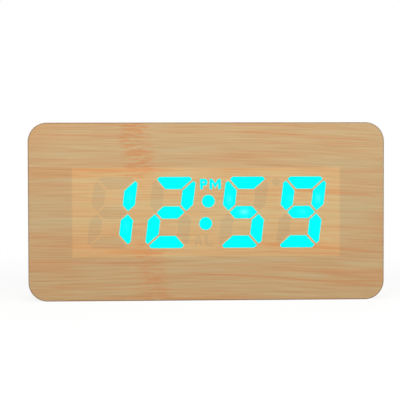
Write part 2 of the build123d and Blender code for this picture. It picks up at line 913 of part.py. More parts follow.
# Battery cells, each with its nub against a contact plate
nub_face = bay_length / 2 - contact_thickness
shoulder_face = nub_face - cell_nub_length
flat_face = shoulder_face - cell_body_length
with BuildPart() as battery_cells:
    for row, turn in zip(cell_rows, cell_turns):
        with BuildSketch(Plane.YZ.offset(turn * flat_face)):
            with Locations((cell_y, middle + row)):
                Circle(cell_radius)
        extrude(amount=turn * cell_body_length)
    fillet(battery_cells.edges().filter_by(GeomType.CIRCLE), radius=cell_edge_round)
    for row, turn in zip(cell_rows, cell_turns):
        with BuildSketch(Plane.YZ.offset(turn * shoulder_face)):
            with Locations((cell_y, middle + row)):
                Circle(cell_nub_radius)
        extrude(amount=turn * cell_nub_length)
save(battery_cells, "battery_cells")

# Contact plates on the bay's end walls: one for each free pole, and one across each joined pair
plate_rows = [(red_end[0], cell_rows[-1:]), (black_end[0], cell_rows[:1])]
plate_rows += [(cell_turns[i], cell_rows[i : i + 2]) for i in range(cell_count - 1)]
with BuildPart() as battery_plates:
    for side, rows in plate_rows:
        with BuildSketch(Plane.YZ.offset(side * bay_length / 2)):
            with Locations((cell_y, middle + (rows[0] + rows[-1]) / 2)):
                Rectangle(contact_width, contact_width + rows[-1] - rows[0])
        extrude(amount=-side * contact_thickness)
save(battery_plates, "battery_plates")

# Leaf springs bent from strip, between a contact plate and the flat end of each cell
with BuildPart() as battery_springs:
    for row, turn in zip(cell_rows, cell_turns):
        plate_side = -turn * (nub_face - contact_thickness / 2)
        cell_side = turn * (flat_face - contact_thickness / 2)
        with BuildSketch(Plane.XY.offset(middle + row - spring_width / 2)):
            with BuildLine():
                FilletPolyline(
                    (plate_side, cell_y - spring_leg / 2),
                    (plate_side, cell_y + spring_leg / 2),
                    (cell_side, cell_y + spring_leg / 2),
                    (cell_side, cell_y - spring_leg / 2),
                    radius=spring_bend,
                )
            trace(line_width=contact_thickness)
        extrude(amount=spring_width)
save(battery_springs, "battery_springs")


def make_lead(side, row):
    """A wire from a contact plate, out through the bay's end wall and up to the key board."""
    with BuildPart() as lead:
        with BuildLine() as route:
            FilletPolyline(
                (side * bay_length / 2, cell_y, middle + row),
                (side * lead_x, cell_y, middle + row),
                (side * lead_x, cell_y, middle + key_z),
                (side * lead_x, key_face, middle + key_z),
                radius=lead_bend,
            )
        with BuildSketch(Plane(origin=route.line @ 0, z_dir=route.line % 0)):
            Circle(lead_radius)
        sweep()
    return lead


save(make_lead(*red_end), "battery_lead_red")
save(make_lead(*black_end), "battery_lead_black")

# Headers for the board cable: one on the back of the display board, one on the front of the key board
with BuildPart() as cable_headers:
    with BuildSketch(upright(board_back)):
        with Locations((cable_x, key_z)):
            Rectangle(header_width, header_depth)
    extrude(amount=-header_height)
    with BuildSketch(upright(key_front)):
        with Locations((cable_x, key_z)):
            Rectangle(header_width, header_depth)
    extrude(amount=header_height)
save(cable_headers, "cable_headers")

# Board cable: a flat ribbon that sags between the two headers
cable_start = board_back + header_height
cable_end = key_front - header_height
cable_step = (cable_end - cable_start) / 5
cable_top = middle + key_z
with BuildPart() as board_cable:
    with BuildSketch(Plane.YZ.offset(cable_x - cable_width / 2)):
        with BuildLine():
            FilletPolyline(
                (cable_start, cable_top),
                (cable_start + cable_step, cable_top),
                (cable_start + 2 * cable_step, cable_top - cable_slack),
                (cable_end - 2 * cable_step, cable_top - cable_slack),
                (cable_end - cable_step, cable_top),
                (cable_end, cable_top),
                radius=cable_bend,
            )
        trace(line_width=cable_thickness)
    extrude(amount=cable_width)
save(board_cable, "board_cable")
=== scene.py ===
"""Dresses a wooden block alarm clock: grain, glow, moulded back, cells and stage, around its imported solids.

Laid out as an add-on and run as a script. Object space is in metres, +Z up, the front faces -Y.
"""

from math import pi, radians

import bpy
import numpy as np
from bpy.props import FloatProperty, FloatVectorProperty, IntProperty, PointerProperty
from bpy.types import Operator, Panel, PropertyGroup
from mathutils import Matrix, Vector


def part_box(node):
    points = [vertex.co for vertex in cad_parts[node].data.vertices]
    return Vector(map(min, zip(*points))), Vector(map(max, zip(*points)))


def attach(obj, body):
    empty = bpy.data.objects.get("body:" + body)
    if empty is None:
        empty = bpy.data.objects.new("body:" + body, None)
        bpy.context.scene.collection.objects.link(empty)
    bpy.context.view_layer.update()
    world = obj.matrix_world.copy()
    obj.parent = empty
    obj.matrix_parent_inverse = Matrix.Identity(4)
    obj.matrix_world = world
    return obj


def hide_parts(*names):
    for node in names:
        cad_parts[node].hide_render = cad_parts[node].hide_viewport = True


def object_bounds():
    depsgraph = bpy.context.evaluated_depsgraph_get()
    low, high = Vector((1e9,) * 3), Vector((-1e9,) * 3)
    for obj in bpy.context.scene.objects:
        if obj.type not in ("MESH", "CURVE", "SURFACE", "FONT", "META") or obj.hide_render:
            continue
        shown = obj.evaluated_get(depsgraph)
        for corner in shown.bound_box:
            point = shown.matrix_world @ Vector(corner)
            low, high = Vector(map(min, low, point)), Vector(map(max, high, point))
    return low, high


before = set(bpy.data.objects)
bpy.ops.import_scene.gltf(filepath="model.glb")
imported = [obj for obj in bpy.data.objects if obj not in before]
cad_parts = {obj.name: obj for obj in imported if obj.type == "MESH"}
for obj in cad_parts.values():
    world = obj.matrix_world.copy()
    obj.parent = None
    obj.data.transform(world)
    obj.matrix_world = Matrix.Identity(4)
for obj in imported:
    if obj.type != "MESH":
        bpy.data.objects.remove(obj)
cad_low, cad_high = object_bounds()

bl_info = {
    "name": "Wooden Block Clock",
    "version": (1, 0, 0),
    "blender": (4, 5, 0),
    "location": "3D View > Sidebar > Clock",
    "description": "Builds the finishes, cells and stage of a wooden block alarm clock",
    "category": "Object",
}

MILLIMETRE = 0.001
SURFACE_MAP = "surface"
WHITE = (1.0, 1.0, 1.0, 1.0)
face_middle = (cad_low.z + cad_high.z) / 2


def in_mm(metres):
    """A length in metres, turned into millimetres."""
    return metres / MILLIMETRE


# Property makers

def length(label, text, millimetres):
    """A length that is given in millimetres and kept in metres."""
    return FloatProperty(
        name=label,
        description=text,
        default=millimetres * MILLIMETRE,
        precision=5,
        unit="LENGTH",
        subtype="DISTANCE",
    )


def share(label, text, amount):
    """A plain factor from nought to one."""
    return FloatProperty(name=label, description=text, default=amount, min=0.0, max=1.0, subtype="FACTOR")


def paint(label, text, red, green, blue):
    """A colour as a screen shows it, given in steps of 255."""
    return FloatVectorProperty(
        name=label,
        description=text,
        default=(red / 255, green / 255, blue / 255),
        size=3,
        min=0.0,
        max=1.0,
        subtype="COLOR_GAMMA",
    )


def factors(label, text, red, green, blue):
    """A factor for each of red, green and blue."""
    return FloatVectorProperty(
        name=label,
        description=text,
        default=(red, green, blue),
        size=3,
        min=0.0,
        max=2.0,
    )


def angle(label, text, degrees):
    """An angle that is given in degrees."""
    return FloatProperty(
        name=label,
        description=text,
        default=radians(degrees),
        unit="ROTATION",
        subtype="ANGLE",
    )


def watts(label, text, power):
    """The power of a lamp."""
    return FloatProperty(name=label, description=text, default=power, min=0.0, unit="POWER")


# Settings that a user would change

class BambooSettings(PropertyGroup):
    """Printed bamboo film on the front and the sides."""

    tan: paint("Tan", "Pale fibres", 208, 182, 136)
    brown: paint("Brown", "Orange-brown fibres", 213, 152, 100)
    hair_length: length("Hair length", "Length of the finest marks", 22.0)
    hair_width: length("Hair width", "Width of the finest marks", 0.42)
    hair_dark: share("Hair dark", "How much light the darkest of the finest marks lose", 0.24)
    fibre_length: length("Fibre length", "Length of a fine fibre", 34.0)
    fibre_width: length("Fibre width", "Width of a fine fibre", 1.0)
    strip_length: length("Strip length", "Length of a strip of fibres", 48.0)
    strip_width: length("Strip width", "Width of a strip of fibres", 2.4)
    patch_length: length("Patch length", "Length of a broad patch of one tone", 90.0)
    patch_width: length("Patch width", "Width of a broad patch of one tone", 6.0)
    wander: length("Wander", "How far the fibres stray from straight", 1.2)
    droop: share("Droop", "How steeply the fibres fall towards the right", 0.03)
    knuckle_place: length("Knuckle", "Where the knuckle crosses mid-height", -26.8)
    knuckle_half: length("Knuckle half width", "Half the width of the knuckle", 9.0)
    knuckle_slant: share("Knuckle slant", "How far the knuckle leans for each unit of height", 0.11)
    knuckle_middle: share("Knuckle middle", "Strength of the knuckle at mid-height", 0.2)
    # The edge line is painted shade: a darker band along the film's rounded edges
    edge_shade_width: length("Edge line", "Width of the dark line along the sheet's edge", 0.55)
    edge_shade_kept: share("Edge dark", "How much light the edge line keeps", 0.32)
    roughness: share("Roughness", "Roughness of the film", 0.48)
    grain_depth: length("Grain depth", "Height of the embossed grain", 0.02)


class DisplaySettings(PropertyGroup):
    """Glowing bars, dark bars and the pale window round them."""

    glow: paint("Glow", "Colour of a lit bar", 0, 255, 255)
    guide: paint("Guide", "Colour of the light guide under its glow", 0, 60, 60)
    guide_deep: paint("Deep guide", "The same where the guide is clearer", 0, 36, 40)
    window_lift: factors("Window lift", "Gain of red, green and blue over the window", 1.175, 1.125, 1.02)
    window_middle: length("Window middle", "Where the pale window's middle lies from left to right", -0.2)
    window_drop: length("Window drop", "How far the pale window's middle lies below the clock's", 0.2)
    window_half_width: length("Window half width", "Half the width of the pale window", 56.4)
    window_half_height: length("Window half height", "Half the height of the pale window", 18.75)
    window_soft: length("Window softness", "How gradual the window's border is", 0.5)
    ghost_tint: factors("Ghost tint", "Red, green and blue that a dark bar leaves", 0.885, 0.925, 1.0)


class FilmSettings(PropertyGroup):
    """The strip of film round the four sides."""

    corner_radius: length("Corner radius", "Radius of the block's corners", 8.0)
    thickness: length("Thickness", "Thickness of the film", 0.5)
    edge_round: length("Edge round", "Rounding of the film's cut edges", 0.16)
    seam_width: length("Seam width", "Half the width of the butt seam under the block", 0.22)
    seam_depth: length("Seam depth", "Depth of the butt seam under the block", 0.18)
    corner_steps: IntProperty(name="Corner steps", description="Faces round each corner", default=28, min=4)


class CoverSettings(PropertyGroup):
    """Moulded back: cover, door, buttons and their trims."""

    plastic: paint("Plastic", "Textured moulding of the back", 50, 50, 53)
    plastic_worn: paint("Worn plastic", "The same moulding where it is rubbed", 68, 68, 71)
    button: paint("Button", "Satin button caps", 66, 66, 69)
    mark: paint("Mark", "Paint in the sunk marks of the buttons", 214, 214, 208)
    texture_size: length("Texture size", "Spacing of the moulded texture", 0.42)
    texture_depth: length("Texture depth", "Height of the moulded texture", 0.07)
    collar_width: length("Collar width", "Width of the raised ring round each hole", 0.9)
    collar_height: length("Collar height", "Height of the raised ring round each hole", 0.4)
    collar_gap: length("Collar gap", "From the button or socket to its ring", 0.45)
    line_width: length("Line width", "Width of raised marks", 0.55)
    line_height: length("Line height", "Height of raised marks", 0.26)


class CellSettings(PropertyGroup):
    """Battery cells and metal contacts."""

    jacket: paint("Jacket", "Main colour of the cell's jacket", 88, 110, 148)
    band: paint("Band", "Band at the positive end", 214, 214, 208)
    tin: paint("Tin", "Plated ends, springs and plates", 205, 203, 198)
    band_start: length("Band start", "Where the band begins, from the negative end", 34.5)
    band_end: length("Band end", "Where the band ends, from the negative end", 40.5)
    segments: IntProperty(name="Segments", description="Faces round a cell", default=72, min=12)


class StageSettings(PropertyGroup):
    """Camera, lamps, floor and surroundings."""

    camera_place: FloatVectorProperty(
        name="Camera place",
        description="Where the camera stands",
        default=(-0.0305, -0.5987, 0.0624),
        size=3,
        subtype="TRANSLATION",
        unit="LENGTH",
    )
    camera_turn: angle("Camera turn", "How far the camera looks to the right", 2.73)
    camera_drop: angle("Camera drop", "How far the camera looks down", 1.98)
    camera_roll: angle("Camera roll", "How far the camera leans about its line of sight", -0.14)
    lens: FloatProperty(name="Lens", description="Focal length in millimetres", default=123.8, min=10.0)
    key_power: watts("Key", "Soft lamp above the front", 1.32)
    side_power: watts("Sides", "Soft lamps at either side", 1.6)
    back_power: watts("Back", "Soft lamp above the back", 2.8)
    ambient: share("Ambient", "Light that comes from all round", 0.25)
    floor: paint("Floor", "Pale floor", 195, 195, 195)
    floor_gap: length("Floor gap", "How far the floor lies below the clock, so that no faces meet", 0.02)
    floor_glow: share("Floor glow", "Share of the floor that shows as plain white", 0.86)
    clear_from: length("Clear from", "Distance from the clock at which the floor begins to whiten", 110.0)
    clear_by: length("Clear by", "Distance from the clock at which the floor is white", 330.0)


class ClockSettings(PropertyGroup):
    """All settings of the clock."""

    bamboo: PointerProperty(name="Bamboo", description="Bamboo film", type=BambooSettings)
    display: PointerProperty(name="Display", description="Glowing display", type=DisplaySettings)
    film: PointerProperty(name="Film", description="Film round the sides", type=FilmSettings)
    cover: PointerProperty(name="Cover", description="Moulded back", type=CoverSettings)
    cells: PointerProperty(name="Cells", description="Battery cells", type=CellSettings)
    stage: PointerProperty(name="Stage", description="Camera and lamps", type=StageSettings)


# Shader wires

def fill_sockets(node, sockets):
    """Gives a node's input sockets their values or links."""
    for key, value in sockets.items():
        if isinstance(value, Wire):
            node.id_data.links.new(value.socket, node.inputs[key])
        else:
            node.inputs[key].default_value = value


class Wire:
    """A value that runs through a shader; arithmetic on it adds Math nodes."""

    def __init__(self, tree, socket=None):
        self.tree = tree
        self.socket = socket

    def node(self, kind, settings=None, sockets=None, output=0):
        """Adds any other node: its settings first, then the values or links of its sockets."""
        made = self.tree.nodes.new(kind)
        for name, value in (settings or {}).items():
            setattr(made, name, value)
        fill_sockets(made, sockets or {})
        return Wire(self.tree, made.outputs[output]) if made.outputs else None

    def math(self, operation, first, second):
        return self.node("ShaderNodeMath", {"operation": operation}, {0: first, 1: second})

    def __add__(self, other):
        return self.math("ADD", self, other)

    def __radd__(self, other):
        return self.math("ADD", other, self)

    def __sub__(self, other):
        return self.math("SUBTRACT", self, other)

    def __rsub__(self, other):
        return self.math("SUBTRACT", other, self)

    def __mul__(self, other):
        return self.math("MULTIPLY", self, other)

    def __rmul__(self, other):
        return self.math("MULTIPLY", other, self)

    def __truediv__(self, other):
        return self.math("DIVIDE", self, other)

    def __pow__(self, other):
        return self.math("POWER", self, other)

    def __lt__(self, other):
        return self.math("LESS_THAN", self, other)

    def __gt__(self, other):
        return self.math("GREATER_THAN", self, other)

    def __mod__(self, other):
        return self.math("FLOORED_MODULO", self, other)

    def __abs__(self):
        return self.math("ABSOLUTE", self, 0.0)

    def least(self, other):
        return self.math("MINIMUM", self, other)

    def most(self, other):
        return self.math("MAXIMUM", self, other)

    def swing(self, reach):
        """A noise about one half, moved to lie about nought and stretched by its reach."""
        return (self - 0.5) * reach

    def ease(self, start, end):
        """Nought at the start, one at the end, and smooth between them, whichever is larger."""
        return self.node(
            "ShaderNodeMapRange",
            {"interpolation_type": "SMOOTHSTEP"},
            {"Value": self, "From Min": start, "From Max": end},
        )

    def split(self):
        """The three parts of a vector."""
        first = self.node("ShaderNodeSeparateXYZ", None, {0: self})
        return [Wire(self.tree, part) for part in first.socket.node.outputs]

    def mix(self, first, second, mode="MIX"):
        """Mixes two colours, with this value, held between nought and one, as the share of the second."""
        settings = {"data_type": "RGBA", "blend_type": mode}
        return self.node("ShaderNodeMix", settings, {0: self, 6: first, 7: second}, 2)

    def tint(self, colour, kept):
        """A colour that keeps these shares of its red, green and blue where this value is one."""
        return self.mix(colour, (*kept, 1.0), "MULTIPLY")

    def bump(self, depth):
        """A surface normal from this value as a height, with its full depth in metres."""
        return self.node("ShaderNodeBump", None, {"Height": self, "Distance": depth}, "Normal")


def linear(colour):
    """Turns a colour as a screen shows it into the light it stands for, by the usual screen curve."""
    light = [part / 12.92 if part <= 0.04045 else ((part + 0.055) / 1.055) ** 2.4 for part in colour]
    return (*light, 1.0)


def screen(red, green, blue):
    """The light that a screen colour stands for, given in steps of 255."""
    return linear((red / 255, green / 255, blue / 255))


def new_material(name):
    """A material with its one shader, and a wire to start its maths from."""
    material = bpy.data.materials.new(name)
    material.use_nodes = True
    return material, material.node_tree.nodes["Principled BSDF"], Wire(material.node_tree)


def bare_tree(block):
    """Clears the nodes of a material or a world, and gives a wire to start from."""
    block.use_nodes = True
    block.node_tree.nodes.clear()
    return Wire(block.node_tree)


def scaled_to_mm(place):
    """The parts of a place in metres, as wires in millimetres."""
    settings = {"operation": "SCALE"}
    return place.node("ShaderNodeVectorMath", settings, {0: place, "Scale": 1 / MILLIMETRE}).split()


def object_millimetres(start):
    """Object coordinates, in millimetres, as three wires."""
    return scaled_to_mm(start.node("ShaderNodeTexCoord", None, None, "Object"))


def surface_millimetres(start):
    """A piece's own surface lengths, kept in metres in its UV map, as two wires in millimetres."""
    return scaled_to_mm(start.node("ShaderNodeUVMap", {"uv_map": SURFACE_MAP}))[:2]


def object_material(name):
    """A new material, its one shader, and its object coordinates, in millimetres, as three wires."""
    material, shader, start = new_material(name)
    return material, shader, object_millimetres(start)


def cloud(parts, detail):
    """Smooth noise about one half, whose lumps are one unit wide, at a place of three parts."""
    place = parts[0].node("ShaderNodeCombineXYZ", None, dict(enumerate(parts)))
    return place.node("ShaderNodeTexNoise", None, {"Vector": place, "Scale": 1.0, "Detail": detail})


def noise(place, size, detail=2.0):
    """Noise whose lumps have one size, or one for each axis, in millimetres."""
    sizes = np.broadcast_to(size, 3).tolist()
    return cloud([part / lump for part, lump in zip(place, sizes)], detail)


def blended(first, second, weight):
    """Two noises as one, with the weight of the first."""
    return first * weight + second * (1.0 - weight)


def from_rounded_edge(x, z, half_width, half_height, radius):
    """Distance from the outline of a rectangle with round corners, negative inside it."""
    out_x = abs(x) - (half_width - radius)
    out_z = abs(z) - (half_height - radius)
    corner = (out_x.most(0.0) ** 2.0 + out_z.most(0.0) ** 2.0) ** 0.5
    return corner + out_x.most(out_z).least(0.0) - radius


def dress(material, *names):
    """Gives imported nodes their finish."""
    for name in names:
        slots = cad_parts[name].data.materials
        slots.clear()
        slots.append(material)


# Bamboo

# Brown streaks of the front, and one pale one of negative strength, in millimetres from its middle:
# start, end, height at mid-width, fall for each millimetre to the right, half width and strength
FRONT_STREAKS = (
    (-84.0, 78.0, 1.0, 0.004, 7.5, -0.32),
    (-80.0, -24.0, 16.6, 0.004, 2.6, 0.22),
    (-80.0, -38.0, 14.6, 0.004, 0.8, 0.45),
    (-62.0, -24.0, 16.9, 0.010, 0.7, 0.40),
    (-34.0, -6.0, 17.4, 0.002, 1.2, 0.35),
    (-48.0, -14.0, -17.4, 0.012, 1.0, 0.40),
    (-80.0, -48.0, 21.6, 0.004, 0.8, 0.28),
    (-72.0, 20.0, -33.4, 0.028, 0.6, 0.42),
    (-40.0, 6.0, -34.6, 0.030, 0.6, 0.30),
    (10.0, 80.0, 34.2, 0.032, 0.8, 0.40),
    (22.0, 80.0, 11.0, 0.030, 0.9, 0.34),
    (18.0, 80.0, -12.6, 0.034, 1.0, 0.40),
    (-10.0, 80.0, -26.4, 0.040, 0.7, 0.36),
    (-86.0, -46.0, -25.0, 0.004, 5.0, 0.24),
    (44.0, 90.0, -25.0, 0.004, 5.0, 0.24),
)

# The same for the film round the sides, along its length and across its depth, and the places and
# strengths of its knuckles
SIDE_STREAKS = (
    (30.0, 190.0, 9.0, 0.004, 0.8, 0.38),
    (150.0, 330.0, -12.0, -0.003, 0.9, 0.36),
    (260.0, 430.0, 3.0, 0.004, 0.7, 0.34),
)
SIDE_KNUCKLES = ((118.0, 1.0), (302.0, 1.0))

# Layers of noise that the grain is drawn from, far enough apart to be unlike
BEND, STRIPS, FIBRES, HAIRS, PATCHES, RAGGED, STIR, MARKS = range(1, 9)
LAYER_STEP = 7.3

# Length along and width across the grain of its slower noises, in millimetres
BEND_SIZE = (75.0, 24.0)
RAGGED_SIZE = (30.0, 1.6)
STIR_SIZE = (4.0, 4.0)
MARK_SIZE = (5.0, 0.75)

# What makes up the tone, from nought for tan to one for brown
TONE_MIDDLE = 0.33
STRIP_SHARE = 0.65
FIBRE_SHARE = 0.8
HAIR_SHARE = 0.85
PATCH_SHARE = 1.0
KNUCKLE_TONE = 0.32
KNUCKLE_SHARE = 2.8

FALL_SPAN = (-20.0, 70.0)  # where the lines begin to fall, and where they fall in full
KNUCKLE_SPAN = (6.0, 22.0)  # distances from mid-height between which a knuckle gains its full strength
KNUCKLE_RISE = 0.008  # how much stronger a knuckle is for each millimetre of height
RAGGED_SHARE = 1.4  # how far a knuckle's border strays, as a share of its half width
STIR_REACH = 2.2  # how far a knuckle's marks are stirred out of line
CORE_SHARE = 0.2  # share of a band's half width that has its full strength
STREAK_RISE = 12.0  # length over which a streak sets in
STREAK_FADE = 16.0  # length over which a streak dies away


def grain_noise(along, across, size_along, size_across, layer, detail=2.0):
    """Noise drawn out along the grain, from one of many unlike layers."""
    return cloud([along / size_along, across / size_across, layer * LAYER_STEP], detail)


def bamboo(along, across, wood, knuckles, streaks):
    """Bamboo colour and emboss height from the lengths along and across the grain, in millimetres.

    The lines of the grain are the length across, bent by a slow noise and by a fall that grows to the
    right. Strips, fibres, hairs and patches are noises drawn out along those lines, and their weighted
    sum picks a tone between tan and brown. A knuckle adds short broken marks in a slanted band with a
    ragged border, which may be weaker at mid-height and grows stronger upwards. Each streak adds brown,
    or takes it away, along one line between its two ends. The hairs also dim the colour.
    """
    bend = grain_noise(along, across, *BEND_SIZE, BEND)
    fall = along.ease(*FALL_SPAN) * along * wood.droop
    lines = across + bend.swing(in_mm(wood.wander)) + fall
    strips = grain_noise(along, lines, in_mm(wood.strip_length), in_mm(wood.strip_width), STRIPS, detail=1.0)
    fibres = grain_noise(along, lines, in_mm(wood.fibre_length), in_mm(wood.fibre_width), FIBRES, detail=1.0)
    hairs = grain_noise(along, lines, in_mm(wood.hair_length), in_mm(wood.hair_width), HAIRS, detail=1.0)
    patches = grain_noise(along, lines, in_mm(wood.patch_length), in_mm(wood.patch_width), PATCHES)
    tone = TONE_MIDDLE + strips.swing(STRIP_SHARE) + fibres.swing(FIBRE_SHARE)
    tone = tone + hairs.swing(HAIR_SHARE) + patches.swing(PATCH_SHARE)

    half = in_mm(wood.knuckle_half)
    ragged = grain_noise(along, lines, *RAGGED_SIZE, RAGGED).swing(RAGGED_SHARE * half)
    stirred = lines + grain_noise(along, across, *STIR_SIZE, STIR).swing(STIR_REACH)
    broken = grain_noise(along, stirred, *MARK_SIZE, MARKS, detail=3.0)
    for place, mid_strength in knuckles:
        away = abs(along + across * wood.knuckle_slant - place + ragged)
        strength = mid_strength + abs(across).ease(*KNUCKLE_SPAN) * (1.0 - mid_strength)
        band = away.ease(half, half * CORE_SHARE) * strength * (1.0 + across * KNUCKLE_RISE)
        tone = tone + band * (KNUCKLE_TONE + broken.swing(KNUCKLE_SHARE))

    for start, end, height, drop, half_width, strength in streaks:
        away = abs(lines + along * drop - height)
        ends = along.ease(start, start + STREAK_RISE) * along.ease(end, end - STREAK_FADE)
        tone = tone + ends * away.ease(half_width, half_width * CORE_SHARE) * strength
    colour = tone.mix(linear(wood.tan), linear(wood.brown))
    return hairs.tint(colour, [1.0 - wood.hair_dark] * 3), blended(fibres, hairs, weight=0.5)


def finish_film(shader, wood, colour, emboss, line):
    """Gives the film its colour with painted shade along its edges, its satin gloss and its embossed grain.
    """
    fill_sockets(shader, {
        # Painted shade: where line is one, the colour keeps only the edge's share of its light
        "Base Color": line.tint(colour, [wood.edge_shade_kept] * 3),
        "Roughness": wood.roughness + emboss.swing(reach=0.2),
        "Normal": emboss.bump(wood.grain_depth),
        "Specular IOR Level": 0.25,
    })


def over_window(x, across, display):
    """One over the display's pale window and nought outside it, with a soft border."""
    soft = in_mm(display.window_soft)
    half_width = in_mm(display.window_half_width)
    half_height = in_mm(display.window_half_height)
    over_x = abs(x - in_mm(display.window_middle)).ease(half_width + soft, half_width - soft)
    over_z = abs(across + in_mm(display.window_drop)).ease(half_height + soft, half_height - soft)
    return over_x * over_z


FACE_DEPTH = 0.05  # what counts as the face of a dark bar, in millimetres behind the front
# The edge line is painted shade along the sheet's rounded outline
EDGE_SHADE_FLAT = 0.05  # how far in from the outline the edge line is darkest, in millimetres


def front_material(name, settings, ghost):
    """Bamboo over the front, paler over the display's window; a ghost is the film over a dark bar."""
    wood = settings.bamboo
    display = settings.display
    material, shader, (x, y, z) = object_material(name)
    across = z - in_mm(face_middle)
    knuckles = [(in_mm(wood.knuckle_place), wood.knuckle_middle)]
    colour, emboss = bamboo(x, across, wood, knuckles, FRONT_STREAKS)
    colour = over_window(x, across, display).tint(colour, display.window_lift)
    if ghost:
        face = y < in_mm(cad_low.y) + FACE_DEPTH
        colour = face.tint(colour, display.ghost_tint)
    half_width = in_mm(cad_high.x - cad_low.x) / 2
    half_height = in_mm(cad_high.z - cad_low.z) / 2
    edge = from_rounded_edge(x, across, half_width, half_height, in_mm(settings.film.corner_radius))
    # Painted shade: a darker line along the sheet's rounded outline
    finish_film(shader, wood, colour, emboss, edge.ease(-in_mm(wood.edge_shade_width), -EDGE_SHADE_FLAT))
    return material


class CLOCK_OT_front(Operator):
    """Finishes the bamboo front and the dark bars of its display."""

    bl_idname = "block_clock.front"
    bl_label = "Bamboo front"

    def execute(self, context):
        settings = context.scene.block_clock
        dress(front_material("bamboo front", settings, ghost=False), "front_sheet")
        dress(front_material("bamboo over dark bars", settings, ghost=True), "unlit_segments")
        return {"FINISHED"}


# Plain finishes, with the sizes of their marks in millimetres

BROAD_LUMPS = 12  # size of the broad lumps of a plain finish, in sizes of its small ones


def speckled(name, main, fleck, size, roughness):
    """A moulded or painted finish of two close colours, given in steps of 255, in small and broad lumps."""
    material, shader, place = object_material(name)
    lumps = noise(place, size, detail=3.0)
    broad = noise(place, BROAD_LUMPS * size)
    tone = blended(lumps, broad, weight=0.6).ease(start=0.36, end=0.64)
    fill_sockets(shader, {
        "Base Color": tone.mix(screen(*main), screen(*fleck)),
        "Roughness": roughness + lumps.swing(reach=0.25),
        "Normal": lumps.bump(depth=0.01 * MILLIMETRE),
    })
    return material


def drawn_metal(name, main, shadow, line_sizes, roughness):
    """Plated metal with fine drawing lines, whose sizes are given for each axis, and small dull stains."""
    material, shader, place = object_material(name)
    lines = noise(place, line_sizes, detail=3.0)
    stains = noise(place, size=1.6)
    tone = blended(lines, stains, weight=0.5).ease(start=0.62, end=0.34)
    fill_sockets(shader, {
        "Base Color": tone.mix(main, shadow),
        "Roughness": roughness + lines.swing(reach=0.3) + stains.swing(reach=0.2),
        "Metallic": 1.0,
        "Normal": lines.bump(depth=0.006 * MILLIMETRE),
    })
    return material


def moulded_material(name, main, worn, cover, coarse=1.0):
    """Black moulding with a spark-eroded texture, and rubbed patches that are paler and smoother."""
    material, shader, place = object_material(name)
    pits = noise(place, coarse * in_mm(cover.texture_size), detail=1.0)
    rubbed = noise(place, size=(26.0, 26.0, 16.0), detail=3.0).ease(start=0.36, end=0.76)
    dust = noise(place, size=0.7, detail=3.0).ease(start=0.60, end=0.80)
    paleness = rubbed * 0.25 + dust * 0.25 + pits.swing(reach=0.9)
    fill_sockets(shader, {
        "Base Color": paleness.mix(linear(main), linear(worn)),
        "Roughness": 0.62 - rubbed * 0.08 + dust * 0.1,
        "Specular IOR Level": 0.35,
        "Normal": pits.bump(coarse * cover.texture_depth),
    })
    return material


# Display

# Bright places where a lamp shows through its guide: x and z of the middle and half the size along
# each, in millimetres, and how white it is
LAMP_SPOTS = (
    (15.7, 37.4, 1.45, 0.90, 0.112),
    (47.0, 42.9, 0.95, 1.60, 0.042),
    (9.4, 42.5, 0.95, 1.60, 0.032),
    (40.6, 37.4, 1.45, 0.90, 0.018),
    (-32.4, 42.9, 0.95, 1.60, 0.008),
    (34.9, 42.7, 0.95, 1.60, 0.008),
    (-34.0, 31.4, 0.95, 1.60, 0.008),
)
HAZE = 0.0022  # how white the glow is all over
GUIDE_CLOUD = 6.0  # size of the clearer places in a guide, in millimetres


class CLOCK_OT_display(Operator):
    """Makes the lit bars glow, and finishes what lies behind them."""

    bl_idname = "block_clock.display"
    bl_label = "Display"

    def execute(self, context):
        dress(self.lit_material(context.scene.block_clock.display), "lit_segments")
        reflector = speckled("reflector white", (238, 236, 228), (226, 223, 214), size=0.5, roughness=0.6)
        dress(reflector, "display_reflector")
        lamp = speckled("lamp package", (236, 230, 196), (214, 206, 160), size=0.3, roughness=0.35)
        dress(lamp, "segment_leds")
        return {"FINISHED"}

    def lit_material(self, display):
        """A glow that whitens round each lamp, as one over one plus the fourth power of the distance."""
        material, shader, place = object_material("lit light guide")
        x, y, z = place
        white = HAZE
        for spot_x, spot_z, half_x, half_z, amount in LAMP_SPOTS:
            reach = ((x - spot_x) / half_x) ** 2.0 + ((z - spot_z) / half_z) ** 2.0
            white = white + (1.0 + reach * reach) ** -1.0 * amount
        fill_sockets(shader, {
            "Base Color": noise(place, GUIDE_CLOUD).mix(linear(display.guide), linear(display.guide_deep)),
            "Roughness": 0.5,
            "Specular IOR Level": 0.0,
            "Emission Color": white.mix(linear(display.glow), WHITE),
            "Emission Strength": 1.0,
        })
        return material


# Surfaces

def grid_corners(rows, columns, closed):
    """Row and column of the corners of a grid's quads, counted on past the last where it closes round.

    The columns always close round, and the rows where that is asked for.
    """
    count = rows if closed else rows - 1
    row, column = np.mgrid[:count, :columns].reshape(2, -1, 1)
    return row + np.array([0, 0, 1, 1]), column + np.array([0, 1, 1, 0])


def grid_faces(rows, columns, closed):
    """Faces of a tube of rings, as lists of point numbers, with a flat face across each end of an open one.

    They point outwards where the rings are counted anticlockwise as seen from the end of the tube.
    """
    row, column = grid_corners(rows, columns, closed)
    faces = (row % rows * columns + column % columns).tolist()
    if not closed:
        faces.append(list(range(columns))[::-1])
        faces.append(list(range((rows - 1) * columns, rows * columns)))
    return faces


def add_piece(name, points, faces, material, body, slot, uv=None, sharp=radians(40)):
    """Puts a surface into a mesh object at the origin and lets it ride on a body.

    The faces are lists of point numbers. The UV map, where there is one, holds a pair for each corner.
    """
    mesh = bpy.data.meshes.new(name)
    mesh.from_pydata(points.tolist(), [], faces)
    if uv is not None:
        mesh.uv_layers.new(name=SURFACE_MAP).data.foreach_set("uv", uv.astype(np.float32).ravel())
    mesh.shade_smooth()
    mesh.set_sharp_from_angle(angle=sharp)
    mesh.materials.append(material)
    piece = bpy.data.objects.new(name, mesh)
    bpy.context.scene.collection.objects.link(piece)
    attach(piece, body)
    return piece


